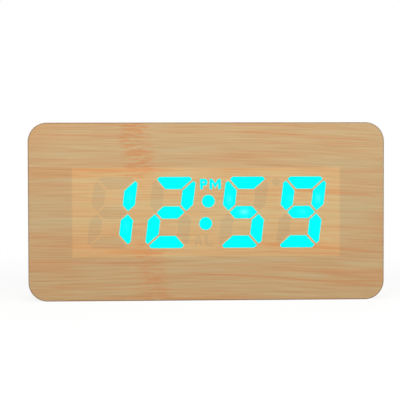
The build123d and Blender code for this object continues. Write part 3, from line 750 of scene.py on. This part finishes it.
def rounded_rectangle(width, height, radius, steps):
    """Points and outward directions round a rectangle, anticlockwise from its lower right corner.

    Each corner is a quarter circle: its centre, plus the radius times the cosine and sine of the angle.
    """
    half_x = width / 2 - radius
    half_z = height / 2 - radius
    centres = np.array([(half_x, -half_z), (half_x, half_z), (-half_x, half_z), (-half_x, -half_z)])
    turns = np.array([-1, 0, 1, 2])[:, None] * pi / 2 + np.linspace(0, pi / 2, steps + 1)
    outward = np.stack([np.cos(turns), np.sin(turns)], axis=-1)
    points = centres[:, None, :] + radius * outward
    return points.reshape(-1, 2), outward.reshape(-1, 2)


# Film round the sides

SEAM_SPREAD = (0.15, 0.45, 0.8, 1.2, 1.8, 3.0, 8.0)  # points beside the seam, in its half widths
EDGE_POINTS = 6  # points round each of the film's edges


class CLOCK_OT_side_band(Operator):
    """Wraps the strip of film round the four sides, with its seam under the block.

    The film's cross-section, a flat strip with rounded outer edges, is carried round the outline of the
    block. Near the seam each point sinks by a bell curve of its distance from the seam.
    """

    bl_idname = "block_clock.side_band"
    bl_label = "Side film"

    def execute(self, context):
        settings = context.scene.block_clock
        low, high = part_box("side_wrap")
        path, outward, sink = self.outline(settings.film, high.x - low.x, high.z - low.z)
        section = self.cross_section(settings.film, low.y, high.y)
        points, faces, uv = self.wrapped(settings.film, path, outward, sink, section)
        material = self.film_material(settings, low.y, high.y)
        band = add_piece("side_film", points, faces, material, "case", "bamboo_film", uv)
        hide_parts("side_wrap")
        return {"FINISHED"}

    def outline(self, film, width, height):
        """The way round the block from the seam back to it, with its outward directions and its sinking."""
        corners, outward = rounded_rectangle(width, height, film.corner_radius, film.corner_steps)
        spread = np.array(SEAM_SPREAD) * film.seam_width
        sink = film.seam_depth * np.exp(-((spread / film.seam_width) ** 2))
        after = np.stack([spread, np.full_like(spread, -height / 2)], axis=-1)
        before = (after * [-1, 1])[::-1]
        down = np.tile([0.0, -1.0], (len(spread), 1))
        path = np.concatenate([after, corners, before])
        outward = np.concatenate([down, outward, down])
        return path, outward, np.concatenate([sink, np.zeros(len(corners)), sink[::-1]])

    def cross_section(self, film, front, back):
        """Height above the outline and depth along y, round the film's section from its front edge."""
        rise = np.linspace(0, pi / 2, EDGE_POINTS)
        ring = film.edge_round * np.stack([np.cos(rise) - 1, 1 - np.sin(rise)], axis=-1)
        front_edge = ring[::-1] + (0, front)
        back_edge = ring * (1, -1) + (0, back)
        inner = [(-film.thickness, back), (-film.thickness, front)]
        return np.concatenate([front_edge, back_edge, inner])

    def wrapped(self, film, path, outward, sink, section):
        """Points, faces and UV map of the section carried along the path; its inner face doesn't sink."""
        outside = section[:, 0] > -film.thickness
        offset = section[:, 0] - sink[:, None] * outside
        flat = path[:, None, :] + outward[:, None, :] * offset[:, :, None]
        depth = np.broadcast_to(section[:, 1], offset.shape)
        points = np.stack([flat[..., 0], depth, flat[..., 1] + face_middle], axis=-1)
        row, column = grid_corners(*offset.shape, True)
        steps = np.linalg.norm(np.roll(path, -1, axis=0) - path, axis=1)
        run = np.concatenate([[0.0], np.cumsum(steps)])
        uv = np.stack([run[row], section[column % len(section), 1]], axis=-1)
        return points.reshape(-1, 3), grid_faces(*offset.shape, True), uv

    def film_material(self, settings, front, back):
        """Bamboo along the strip's own length, with painted shade on its rounded edges."""
        wood = settings.bamboo
        material, shader, start = new_material("bamboo side film")
        along, across = surface_millimetres(start)
        colour, emboss = bamboo(along, across, wood, SIDE_KNUCKLES, SIDE_STREAKS)
        half_depth = in_mm(back - front) / 2
        from_middle = abs(across - in_mm(front + back) / 2)
        # Painted shade: a darker line over the rounded front and back edges of the strip
        line = from_middle.ease(half_depth - in_mm(settings.film.edge_round), half_depth)
        finish_film(shader, wood, colour, emboss, line)
        return material


class CLOCK_OT_block(Operator):
    """Finishes the bare fibreboard of the block, which shows as a rim round the cover."""

    bl_idname = "block_clock.block"
    bl_label = "Fibreboard block"

    def execute(self, context):
        material, shader, place = object_material("bare fibreboard")
        fibres = noise(place, size=(0.5, 0.9, 0.5), detail=4.0)
        layers = noise(place, size=(30.0, 2.2, 30.0), detail=3.0)
        flecks = noise(place, size=(0.22, 0.5, 0.3)).ease(start=0.60, end=0.74)
        tone = blended(fibres, layers, weight=0.6).ease(start=0.36, end=0.62)
        colour = tone.mix(screen(184, 147, 107), screen(143, 107, 71))
        fill_sockets(shader, {
            "Base Color": (flecks * 0.7).mix(colour, screen(87, 61, 41)),
            "Roughness": 0.86 - flecks * 0.1,
            "Normal": fibres.bump(depth=0.08 * MILLIMETRE),
            "Specular IOR Level": 0.2,
        })
        dress(material, "case_body")
        return {"FINISHED"}


# Moulded back

BEAD_POINTS = 10  # points over the top of a raised line
BEAD_FULLNESS = 0.6  # power of the sine that gives its section, less than one for a fuller top


def bead(path, closed, width, height, floor):
    """A raised line: a rounded section, sunk a little into its plate, carried along a flat path.

    The path runs in x and z. The section stands out along the path's normal by half the width times a
    cosine, and up from the floor by the height times a power of the sine. Returns points and faces.
    """
    path = np.asarray(path, dtype=float)
    after = np.roll(path, -1, axis=0)
    before = np.roll(path, 1, axis=0)
    if not closed:
        after[-1] = 2 * path[-1] - path[-2]
        before[0] = 2 * path[0] - path[1]
    tangent = after - before
    tangent /= np.linalg.norm(tangent, axis=1, keepdims=True)
    normal = np.stack([tangent[:, 1], -tangent[:, 0]], axis=-1)
    turns = np.linspace(0, pi, BEAD_POINTS)
    out = np.concatenate([width / 2 * np.cos(turns), [-width / 2, width / 2]])
    up = np.concatenate([height * np.sin(turns) ** BEAD_FULLNESS, [-height / 2, -height / 2]])
    flat = path[:, None, :] + normal[:, None, :] * out[None, :, None]
    rise = np.broadcast_to(floor + up, flat.shape[:2])
    points = np.stack([flat[..., 0], rise, flat[..., 1]], axis=-1).reshape(-1, 3)
    return points, grid_faces(*flat.shape[:2], closed)


def joined(parts):
    """Several surfaces as one list of points and one of faces."""
    counts = np.cumsum([0] + [len(points) for points, faces in parts])
    points = np.concatenate([points for points, faces in parts])
    faces = [[corner + first for corner in face] for first, part in zip(counts, parts) for face in part[1]]
    return points, faces


def raised_marks(place, cover, floor, lines, rings=()):
    """Raised lines along open paths and rings along closed ones, given in millimetres from a place."""
    paths = [(ring, True) for ring in rings] + [(line, False) for line in lines]
    return joined([
        bead(place + np.asarray(path) * MILLIMETRE, closed, cover.line_width, cover.line_height, floor)
        for path, closed in paths
    ])


def arc(radius, steps, start, sweep):
    """Points along an arc about the origin, both ends included."""
    turns = start + sweep * np.arange(steps + 1) / steps
    return radius * np.stack([np.cos(turns), np.sin(turns)], axis=-1)


def minus_lines(x, z, half):
    """The one stroke of a minus sign."""
    return [[(x - half, z), (x + half, z)]]


def plus_lines(x, z, half):
    """The two strokes of a plus sign."""
    return minus_lines(x, z, half) + [[(x, z - half), (x, z + half)]]


def middle_of(name):
    """The middle of a node in x and z."""
    low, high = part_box(name)
    return np.array([(low.x + high.x) / 2, (low.z + high.z) / 2])


BUTTONS = ("set_button", "up_button", "down_button")
COLLAR_STEPS = 64
RING_STEPS = 36
RING_OPENING = radians(80)

# Sizes on the back, in millimetres; the polarity mark is a dot in an open ring, wired to a plus and a minus
BUTTON_RADIUS = 3.5
SOCKET_RADIUS = 3.75
POLARITY_DROP = 8.0
POLARITY_RING = 1.3
POLARITY_DOT = 0.25
POLARITY_WIRE = 2.9
POLARITY_SIGN = 4.1
POLARITY_SIGN_HALF = 0.7


class CLOCK_OT_cover(Operator):
    """Finishes the moulded cover and door, and raises rings round the holes and a mark by the socket."""

    bl_idname = "block_clock.cover"
    bl_label = "Moulded back"

    def execute(self, context):
        cover = context.scene.block_clock.cover
        moulded = moulded_material("textured moulding", cover.plastic, cover.plastic_worn, cover)
        dress(moulded, "rear_cover", "battery_door", "power_socket")
        dress(moulded_material("buzzer moulding", cover.plastic, cover.plastic, cover, coarse=2.0), "buzzer")
        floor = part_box("rear_cover")[1].y
        add_piece("cover_collars", *self.collars(cover, floor), moulded, "case", "black_plastic")
        foil = speckled("foil on raised marks", (168, 168, 164), (136, 136, 134), size=0.3, roughness=0.45)
        add_piece("polarity_mark", *self.polarity_mark(cover, floor), foil, "case", "black_plastic")
        return {"FINISHED"}

    def collars(self, cover, floor):
        """A raised ring round each button and round the socket."""
        holes = [(name, BUTTON_RADIUS) for name in BUTTONS] + [("power_socket", SOCKET_RADIUS)]
        reach = cover.collar_gap + cover.collar_width / 2
        rings = []
        for name, radius in holes:
            ring = middle_of(name) + arc(radius * MILLIMETRE + reach, COLLAR_STEPS, 0, 2 * pi)[:-1]
            rings.append(bead(ring, True, cover.collar_width, cover.collar_height, floor))
        return joined(rings)

    def polarity_mark(self, cover, floor):
        """Raised mark under the socket, which shows the pole of its pin."""
        lines = [
            arc(POLARITY_RING, RING_STEPS, RING_OPENING / 2, 2 * pi - RING_OPENING),
            [(-POLARITY_DOT, 0), (POLARITY_WIRE, 0)],
            [(-POLARITY_WIRE, 0), (-POLARITY_RING, 0)],
        ]
        lines += plus_lines(POLARITY_SIGN, 0, POLARITY_SIGN_HALF)
        lines += minus_lines(-POLARITY_SIGN, 0, POLARITY_SIGN_HALF)
        place = middle_of("power_socket") - (0, POLARITY_DROP * MILLIMETRE)
        return raised_marks(place, cover, floor, lines)


# On a button's cap, in millimetres
MARK_DEPTHS = (0.12, 0.4)  # depths below the top between which the mark is painted
MARK_REACH = 1.8  # how far the mark reaches from the middle
RUBBED_REACH = (3.6, 1.2)  # distances from the middle at which rubbing sets in and is full


class CLOCK_OT_buttons(Operator):
    """Finishes the button caps, with paint in their sunk marks, and the switches under them."""

    bl_idname = "block_clock.buttons"
    bl_label = "Buttons"

    def execute(self, context):
        for name in BUTTONS:
            dress(self.cap_material(name, context.scene.block_clock.cover), name)
        switch = speckled("switch moulding", (64, 64, 66), (52, 52, 54), size=0.3, roughness=0.5)
        dress(switch, "switch_bodies")
        plunger = speckled("switch plunger", (228, 224, 214), (210, 205, 192), size=0.3, roughness=0.45)
        dress(plunger, *[name.replace("button", "plunger") for name in BUTTONS])
        return {"FINISHED"}

    def cap_material(self, name, cover):
        """Satin moulding, rubbed towards the middle of the cap, with paint on what lies below its top."""
        material, shader, place = object_material(name.replace("_", " ") + " cap")
        x, y, z = place
        top = in_mm(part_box(name)[1].y)
        middle_x, middle_z = in_mm(middle_of(name)).tolist()
        from_middle = ((x - middle_x) ** 2.0 + (z - middle_z) ** 2.0) ** 0.5
        shallow, deep = MARK_DEPTHS
        sunk = (y < top - shallow) * (y > top - deep) * (from_middle < MARK_REACH)
        grain = noise(place, size=0.2)
        patchy = noise(place, size=2.5, detail=3.0).ease(start=0.3, end=0.7)
        rubbed = from_middle.ease(*RUBBED_REACH) * patchy
        paleness = rubbed * 0.5 + grain.swing(reach=0.4)
        colour = paleness.mix(linear(cover.button), linear(cover.plastic_worn))
        fill_sockets(shader, {
            "Base Color": sunk.mix(colour, linear(cover.mark)),
            "Roughness": 0.5 - rubbed * 0.12 + sunk * 0.15,
            "Specular IOR Level": 0.4,
            "Normal": grain.bump(depth=0.012 * MILLIMETRE),
        })
        return material


class CLOCK_OT_fasteners(Operator):
    """Finishes the screws, the contact strip and the socket's pin."""

    bl_idname = "block_clock.fasteners"
    bl_label = "Screws and contacts"

    def execute(self, context):
        zinc = drawn_metal(
            "zinc-plated steel",
            main=screen(189, 189, 191),
            shadow=screen(115, 115, 117),
            line_sizes=(2.0, 0.12, 0.12),
            roughness=0.34,
        )
        dress(zinc, "cover_screws", "display_screws", "key_board_screws")
        nickel = drawn_metal(
            "nickel strip",
            main=linear(context.scene.block_clock.cells.tin),
            shadow=screen(143, 140, 133),
            line_sizes=(0.1, 0.1, 4.0),
            roughness=0.28,
        )
        dress(nickel, "battery_plates", "battery_springs")
        brass = drawn_metal(
            "plated pin",
            main=screen(222, 204, 158),
            shadow=screen(168, 145, 97),
            line_sizes=(0.1, 3.0, 0.1),
            roughness=0.25,
        )
        dress(brass, "socket_pin")
        return {"FINISHED"}


# Battery cells

# Half section of a cell: length from the negative end and radius, in millimetres, and whether the
# jacket covers it; the lengths of the head are counted from the shoulder
CELL_TAIL = (
    (0.00, 3.05, 0),
    (0.04, 3.25, 0),
    (0.16, 3.38, 0),
    (0.36, 3.48, 0),
    (0.42, 3.60, 0),
    (0.42, 4.05, 0),
    (0.34, 4.20, 0),
    (0.16, 4.30, 1),
    (0.06, 4.45, 1),
    (0.05, 4.62, 1),
    (0.14, 4.88, 1),
    (0.34, 5.10, 1),
    (0.62, 5.22, 1),
    (0.95, 5.25, 1),
)
CELL_HEAD = (
    (-0.95, 5.25, 1),
    (-0.62, 5.22, 1),
    (-0.34, 5.10, 1),
    (-0.14, 4.88, 1),
    (-0.05, 4.62, 1),
    (-0.06, 4.45, 1),
    (-0.16, 4.30, 1),
    (-0.36, 4.20, 0),
    (-0.44, 4.05, 0),
    (-0.44, 2.55, 0),
    (-0.40, 2.25, 0),
    (-0.26, 2.02, 0),
    (-0.05, 1.92, 0),
    (0.50, 1.90, 0),
    (0.66, 1.84, 0),
    (0.76, 1.70, 0),
    (0.80, 1.50, 0),
)
CELL_NUB = 0.8
CELL_COUNT = 3
CELL_SHARP = radians(50)
SPRING_REACH = 3.0
JACKET = "jacket"

# Print on the jacket, in millimetres
RIM_START = 0.7  # from the band to the start of a thin line past it
RIM_END = 1.2  # from the band to the end of that line
MINUS_PLACE = 5.0  # from the negative end to the minus sign
SIGN_HALF_LENGTH = 1.5
SIGN_HALF_WIDTH = 0.42


class CLOCK_OT_cells(Operator):
    """Lays three jacketed cells in the bay, every second one turned round.

    Each cell is its half section turned once about its axis: points at length a and radius r go to
    a along x, and to r times the cosine and sine of the angle across it.
    """

    bl_idname = "block_clock.cells"
    bl_label = "Battery cells"

    def execute(self, context):
        cells = context.scene.block_clock.cells
        low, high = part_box("battery_cells")
        radius = (high.y - low.y) / 2
        pitch = (high.z - low.z - 2 * radius) / (CELL_COUNT - 1)
        shoulder = high.x - CELL_NUB * MILLIMETRE
        body = shoulder + high.x - SPRING_REACH * MILLIMETRE
        section = self.half_section(body)
        covered = np.repeat(section[:, 2], cells.segments)
        points, faces, uv = self.turned(section, cells.segments, radius)
        points[:, 0] += shoulder - body
        material = self.jacket_material(cells, radius)
        for i in range(CELL_COUNT):
            turn = (-1) ** i
            axis = (0.0, (low.y + high.y) / 2, low.z + radius + i * pitch)
            placed = points * (turn, 1, turn) + axis
            name = f"battery_cell_{i + 1}"
            piece = add_piece(name, placed, faces, material, "case", "cell_jacket", uv, CELL_SHARP)
            piece.data.attributes.new(JACKET, "FLOAT", "POINT").data.foreach_set("value", covered)
            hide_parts("battery_cells")
        return {"FINISHED"}

    def half_section(self, body):
        """Lengths, radii and jacket of the whole half section, in metres."""
        tail = np.array(CELL_TAIL) * (MILLIMETRE, MILLIMETRE, 1)
        head = np.array(CELL_HEAD) * (MILLIMETRE, MILLIMETRE, 1)
        return np.concatenate([tail, head + (body, 0, 0)])

    def turned(self, section, segments, radius):
        """Points, faces and UV map of a cell about the x axis.

        The UV map holds the length round the jacket, half a turn to either side, and the length along it.
        """
        turns = 2 * pi * np.arange(segments) / segments
        reach = section[:, 1][:, None]
        along = np.broadcast_to(section[:, 0][:, None], (len(section), segments))
        points = np.stack([along, reach * np.cos(turns), reach * np.sin(turns)], axis=-1)
        row, column = grid_corners(*along.shape, False)
        around = (column / segments - 0.5) * 2 * pi * radius
        side_uv = np.stack([around, section[row, 0]], axis=-1).reshape(-1, 2)
        end_uv = np.zeros((2 * segments, 2))
        return points.reshape(-1, 3), grid_faces(*along.shape, False), np.concatenate([side_uv, end_uv])

    def jacket_material(self, cells, radius):
        """Tin ends, and a printed jacket with a pale band and plain plus and minus signs."""
        material, shader, start = new_material("cell jacket")
        around, span = surface_millimetres(start)
        covered = start.node("ShaderNodeAttribute", {"attribute_name": JACKET}, None, "Fac") > 0.5
        place = object_millimetres(start)
        ink = noise(place, size=0.3, detail=3.0)
        scuffs = noise(place, size=(6.0, 0.5, 0.5), detail=4.0).ease(start=0.62, end=0.75)
        stains = noise(place, size=1.4, detail=4.0)
        jacket = (ink * 0.3).mix(linear(cells.jacket), screen(61, 79, 110))
        jacket = self.printed(around, span, cells, radius).mix(jacket, linear(cells.band))
        jacket = (scuffs * 0.35).mix(jacket, screen(158, 163, 171))
        tin = stains.ease(start=0.35, end=0.7).mix(linear(cells.tin), screen(158, 156, 148))
        fill_sockets(shader, {
            "Base Color": covered.mix(tin, jacket),
            "Metallic": 1.0 - covered,
            "Roughness": covered * (0.36 + scuffs * 0.25) + (1.0 - covered) * (0.24 + stains * 0.2),
        })
        return material

    def printed(self, around, span, cells, radius):
        """One where pale print lies: the band without its plus sign, a thin line and the minus sign."""
        band_start = in_mm(cells.band_start)
        band_end = in_mm(cells.band_end)
        band = (span > band_start) * (span < band_end)
        rim = (span > band_end + RIM_START) * (span < band_end + RIM_END)
        side = pi * in_mm(radius) - abs(around)
        from_plus = span - (band_start + band_end) / 2
        plus = self.bar(side, from_plus, SIGN_HALF_WIDTH, SIGN_HALF_LENGTH)
        plus = plus.most(self.bar(side, from_plus, SIGN_HALF_LENGTH, SIGN_HALF_WIDTH))
        minus = self.bar(side, span - MINUS_PLACE, SIGN_HALF_LENGTH, SIGN_HALF_WIDTH)
        return (band * (1.0 - plus)).most(rim).most(minus)

    def bar(self, across, along, half_across, half_along):
        """One inside a small bar, nought outside it."""
        return (abs(across) < half_across) * (abs(along) < half_along)


# Sizes of the raised diagram, in millimetres
DIAGRAM_BASE = 7.5
DIAGRAM_PITCH = 6.6
DIAGRAM_LENGTH = 26.0
DIAGRAM_HEIGHT = 4.8
DIAGRAM_CORNER = 0.9
DIAGRAM_STEPS = 5  # faces round a corner
DIAGRAM_NUB = 1.0
DIAGRAM_NUB_HALF = 0.9
DIAGRAM_SIGN_INSET = 3.0
DIAGRAM_SIGN_HALF = 1.1


class CLOCK_OT_door_diagram(Operator):
    """Raises a small diagram of the three cells on the inside of the door."""

    bl_idname = "block_clock.door_diagram"
    bl_label = "Door diagram"

    def execute(self, context):
        cover = context.scene.block_clock.cover
        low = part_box("battery_door")[0]
        outline = rounded_rectangle(DIAGRAM_LENGTH, DIAGRAM_HEIGHT, DIAGRAM_CORNER, DIAGRAM_STEPS)[0]
        lines = []
        rings = []
        for i in range(CELL_COUNT):
            row = DIAGRAM_BASE + i * DIAGRAM_PITCH
            rings.append(outline + (0, row))
            lines += self.pole_lines(row, (-1) ** i)
        points, faces = raised_marks(np.array([0.0, low.z]), cover, -low.y, lines, rings)
        points[:, 1] *= -1
        faces = [face[::-1] for face in faces]
        material = moulded_material("door moulding", cover.plastic_worn, cover.plastic_worn, cover)
        add_piece("door_diagram", points, faces, material, "battery_door", "black_plastic")
        return {"FINISHED"}

    def pole_lines(self, row, turn):
        """The nub at a cell's positive end, and the signs of its two poles."""
        end = turn * DIAGRAM_LENGTH / 2
        tip = end + turn * DIAGRAM_NUB
        top = row + DIAGRAM_NUB_HALF
        base = row - DIAGRAM_NUB_HALF
        corners = [(end, top), (tip, top), (tip, base), (end, base)]
        sign = end - turn * DIAGRAM_SIGN_INSET
        nub = list(zip(corners, corners[1:]))
        return nub + plus_lines(sign, row, DIAGRAM_SIGN_HALF) + minus_lines(-sign, row, DIAGRAM_SIGN_HALF)


# Electronics

TRACK_PITCH = 1.27  # from row to row of a board's tracks, in millimetres
TRACK_RUN = 9.0  # length of one run of a track, in millimetres
TRACK_SHIFT = 0.37  # shift of the runs from row to row, as a share of a run
TRACK_BARE = 0.45  # share of the runs that have no track
TRACK_HALF = 0.2  # half the width of a track, as a share of the pitch
LEG_REACH = 2.1  # how far a chip's legs reach in from its outer sides, in millimetres
WIRE_PITCH = 0.95  # from wire to wire of the ribbon, in millimetres

# Plain parts: finish, its two colours in steps of 255, the size of its lumps in millimetres, its roughness
# and its node
PLAIN_PARTS = (
    ("dipped bead", (30, 36, 60), (20, 24, 44), 0.4, 0.2, "temperature_sensor"),
    ("header moulding", (232, 226, 208), (216, 208, 186), 0.4, 0.5, "cable_headers"),
    ("red insulation", (178, 26, 26), (150, 18, 20), 0.5, 0.4, "battery_lead_red"),
    ("black insulation", (40, 40, 42), (28, 28, 30), 0.5, 0.4, "battery_lead_black"),
)


class CLOCK_OT_electronics(Operator):
    """Finishes the boards and what stands on them."""

    bl_idname = "block_clock.electronics"
    bl_label = "Electronics"

    def execute(self, context):
        dress(self.board_material(), "display_board", "key_board")
        dress(self.chip_material(), "controller_chip")
        can = drawn_metal(
            "drawn can",
            main=screen(204, 204, 207),
            shadow=screen(148, 148, 153),
            line_sizes=(6.0, 0.15, 0.15),
            roughness=0.3,
        )
        dress(can, "clock_crystal", "smoothing_capacitor")
        dress(self.ribbon_material(), "board_cable")
        for name, main, fleck, size, roughness, node in PLAIN_PARTS:
            dress(speckled(name, main, fleck, size, roughness), node)
        return {"FINISHED"}

    def board_material(self):
        """Green lacquer over tracks: a track fills some of the cells of a grid of rows and runs."""
        material, shader, place = object_material("lacquered board")
        x, y, z = place
        in_row = (z / TRACK_PITCH) % 1.0
        row = z / TRACK_PITCH - in_row
        run = x / TRACK_RUN + row * TRACK_SHIFT
        cell = run.node("ShaderNodeCombineXYZ", None, {0: run - run % 1.0, 1: row})
        chance = cell.node("ShaderNodeTexWhiteNoise", {"noise_dimensions": "2D"}, {"Vector": cell})
        track = (chance > TRACK_BARE) * (abs(in_row - 0.5) < TRACK_HALF)
        weave = noise(place, size=0.4)
        ground = weave.mix(screen(13, 77, 41), screen(10, 64, 33))
        fill_sockets(shader, {
            "Base Color": track.mix(ground, screen(33, 107, 56)),
            "Roughness": 0.32 + weave.swing(reach=0.2),
            "Normal": track.bump(depth=0.03 * MILLIMETRE),
        })
        return material

    def chip_material(self):
        """Dark moulding, with bare metal on the legs that stand out at its two long sides."""
        material, shader, place = object_material("moulded chip")
        low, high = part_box("controller_chip")
        half = in_mm(high.z - low.z) / 2
        leg = abs(place[2] - in_mm(low.z + high.z) / 2) > half - LEG_REACH
        grain = noise(place, size=0.15)
        dark = grain.mix(screen(41, 41, 43), screen(28, 28, 31))
        fill_sockets(shader, {
            "Base Color": leg.mix(dark, screen(199, 199, 201)),
            "Metallic": leg,
            "Roughness": 0.55 - leg * 0.25 + grain.swing(reach=0.2),
        })
        return material

    def ribbon_material(self):
        """Grey ribbon of joined wires, with one red edge and a groove between the wires."""
        material, shader, place = object_material("ribbon insulation")
        from_edge = place[0] - in_mm(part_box("board_cable")[0].x)
        round_top = 1.0 - abs((from_edge / WIRE_PITCH) % 1.0 - 0.5) * 2.0
        tone = noise(place, size=1.0)
        grey = tone.mix(screen(153, 156, 161), screen(133, 135, 140))
        fill_sockets(shader, {
            "Base Color": (from_edge < WIRE_PITCH).mix(grey, screen(179, 41, 36)),
            "Roughness": 0.5 + tone.swing(reach=0.2),
            "Normal": (round_top ** 0.5).bump(depth=0.2 * MILLIMETRE),
        })
        return material


# Stage

# Soft lamps: name, place, width and height, in metres, and the setting that holds the power
LAMPS = (
    ("front lamp", (0.0, -0.30, 0.30), 0.45, 0.2, "key_power"),
    ("left lamp", (-0.75, -0.20, 0.28), 0.5, 0.4, "side_power"),
    ("right lamp", (0.75, -0.20, 0.28), 0.5, 0.4, "side_power"),
    ("back lamp", (0.10, 0.70, 0.35), 0.6, 0.3, "back_power"),
)
LAMP_AIM = Vector((0.0, 0.0, 0.04))  # what the lamps face
FLOOR_CORNERS = ((-3.0, -3.0), (3.0, -3.0), (3.0, 3.0), (-3.0, 3.0))
NEAREST_SEEN = 0.01  # nearest distance that the camera shows


class CLOCK_OT_stage(Operator):
    """Sets the floor, the surroundings, the lamps and the camera."""

    bl_idname = "block_clock.stage"
    bl_label = "Stage"

    def execute(self, context):
        scene = context.scene
        stage = scene.block_clock.stage
        scene.view_settings.view_transform = "Standard"
        self.make_floor(scene, stage)
        self.make_surroundings(scene, stage)
        for name, place, width, height, power in LAMPS:
            self.make_lamp(scene, name, Vector(place), width, height, getattr(stage, power))
        self.make_camera(scene, stage)
        return {"FINISHED"}

    def seen(self, start):
        """One for rays from the camera and for mirrored or transmitted ones."""
        kinds = ("Is Camera Ray", "Is Glossy Ray", "Is Transmission Ray")
        rays = [start.node("ShaderNodeLightPath", None, None, kind) for kind in kinds]
        return rays[0].most(rays[1]).most(rays[2])

    def make_floor(self, scene, stage):
        """A pale floor that shows white, apart from a share of the shadow close to the clock."""
        material = bpy.data.materials.new("pale floor")
        start = bare_tree(material)
        x, y = object_millimetres(start)[:2]
        away = (x ** 2.0 + y ** 2.0) ** 0.5
        clear = away.ease(in_mm(stage.clear_from), in_mm(stage.clear_by))
        seen = self.seen(start)
        shown = seen * (stage.floor_glow + clear * (1.0 - stage.floor_glow))
        matt = start.node("ShaderNodeBsdfDiffuse", None, {"Color": seen.mix(linear(stage.floor), WHITE)})
        white = start.node("ShaderNodeEmission", None, {"Strength": 1.0})
        surface = start.node("ShaderNodeMixShader", None, {0: shown, 1: matt, 2: white})
        start.node("ShaderNodeOutputMaterial", None, {"Surface": surface})
        mesh = bpy.data.meshes.new("floor")
        mesh.from_pydata([(*corner, -stage.floor_gap) for corner in FLOOR_CORNERS], [], [(0, 1, 2, 3)])
        mesh.materials.append(material)
        floor = bpy.data.objects.new("floor", mesh)
        scene.collection.objects.link(floor)

    def make_surroundings(self, scene, stage):
        """White to the eye and in reflections, and a dimmer even light on everything else."""
        world = bpy.data.worlds.new("surroundings")
        start = bare_tree(world)
        dim = start.node("ShaderNodeBackground", None, {"Strength": stage.ambient})
        white = start.node("ShaderNodeBackground", None, {"Color": WHITE, "Strength": 1.0})
        surface = start.node("ShaderNodeMixShader", None, {0: self.seen(start), 1: dim, 2: white})
        start.node("ShaderNodeOutputWorld", None, {"Surface": surface})
        scene.world = world

    def make_lamp(self, scene, name, place, width, height, power):
        """A soft rectangular lamp that faces the clock."""
        lamp = bpy.data.lights.new(name, "AREA")
        lamp.shape = "RECTANGLE"
        lamp.size = width
        lamp.size_y = height
        lamp.energy = power
        holder = bpy.data.objects.new(name, lamp)
        turn = (LAMP_AIM - place).to_track_quat("-Z", "Y")
        holder.matrix_world = Matrix.LocRotScale(place, turn, None)
        holder.visible_camera = False
        scene.collection.objects.link(holder)

    def make_camera(self, scene, stage):
        """Turned to the right, down and about its line of sight, from a level look along +Y."""
        camera = bpy.data.cameras.new("camera")
        camera.lens = stage.lens
        camera.clip_start = NEAREST_SEEN
        holder = bpy.data.objects.new("camera", camera)
        level = Matrix.Rotation(pi / 2 - stage.camera_drop, 4, "X")
        turn = Matrix.Rotation(-stage.camera_turn, 4, "Z")
        roll = Matrix.Rotation(stage.camera_roll, 4, "Z")
        holder.matrix_world = Matrix.Translation(stage.camera_place) @ turn @ level @ roll
        scene.collection.objects.link(holder)
        scene.camera = holder


# Add-on

class CLOCK_PT_build(Panel):
    """Lists the steps of the clock."""

    bl_idname = "CLOCK_PT_build"
    bl_label = "Wooden Block Clock"
    bl_space_type = "VIEW_3D"
    bl_region_type = "UI"
    bl_category = "Clock"

    def draw(self, context):
        for step in STEPS:
            self.layout.operator(step.bl_idname, text=step.bl_label)


SETTINGS = (
    BambooSettings,
    DisplaySettings,
    FilmSettings,
    CoverSettings,
    CellSettings,
    StageSettings,
    ClockSettings,
)
STEPS = (
    CLOCK_OT_front,
    CLOCK_OT_display,
    CLOCK_OT_side_band,
    CLOCK_OT_block,
    CLOCK_OT_cover,
    CLOCK_OT_buttons,
    CLOCK_OT_fasteners,
    CLOCK_OT_cells,
    CLOCK_OT_door_diagram,
    CLOCK_OT_electronics,
    CLOCK_OT_stage,
)
CLASSES = SETTINGS + STEPS + (CLOCK_PT_build,)


def register():
    for kind in CLASSES:
        bpy.utils.register_class(kind)
    bpy.types.Scene.block_clock = PointerProperty(type=ClockSettings)


def unregister():
    del bpy.types.Scene.block_clock
    for kind in reversed(CLASSES):
        bpy.utils.unregister_class(kind)


def main():
    register()
    for step in STEPS:
        group, name = step.bl_idname.split(".")
        getattr(getattr(bpy.ops, group), name)()
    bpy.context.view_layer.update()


if __name__ == "__main__":
    main()
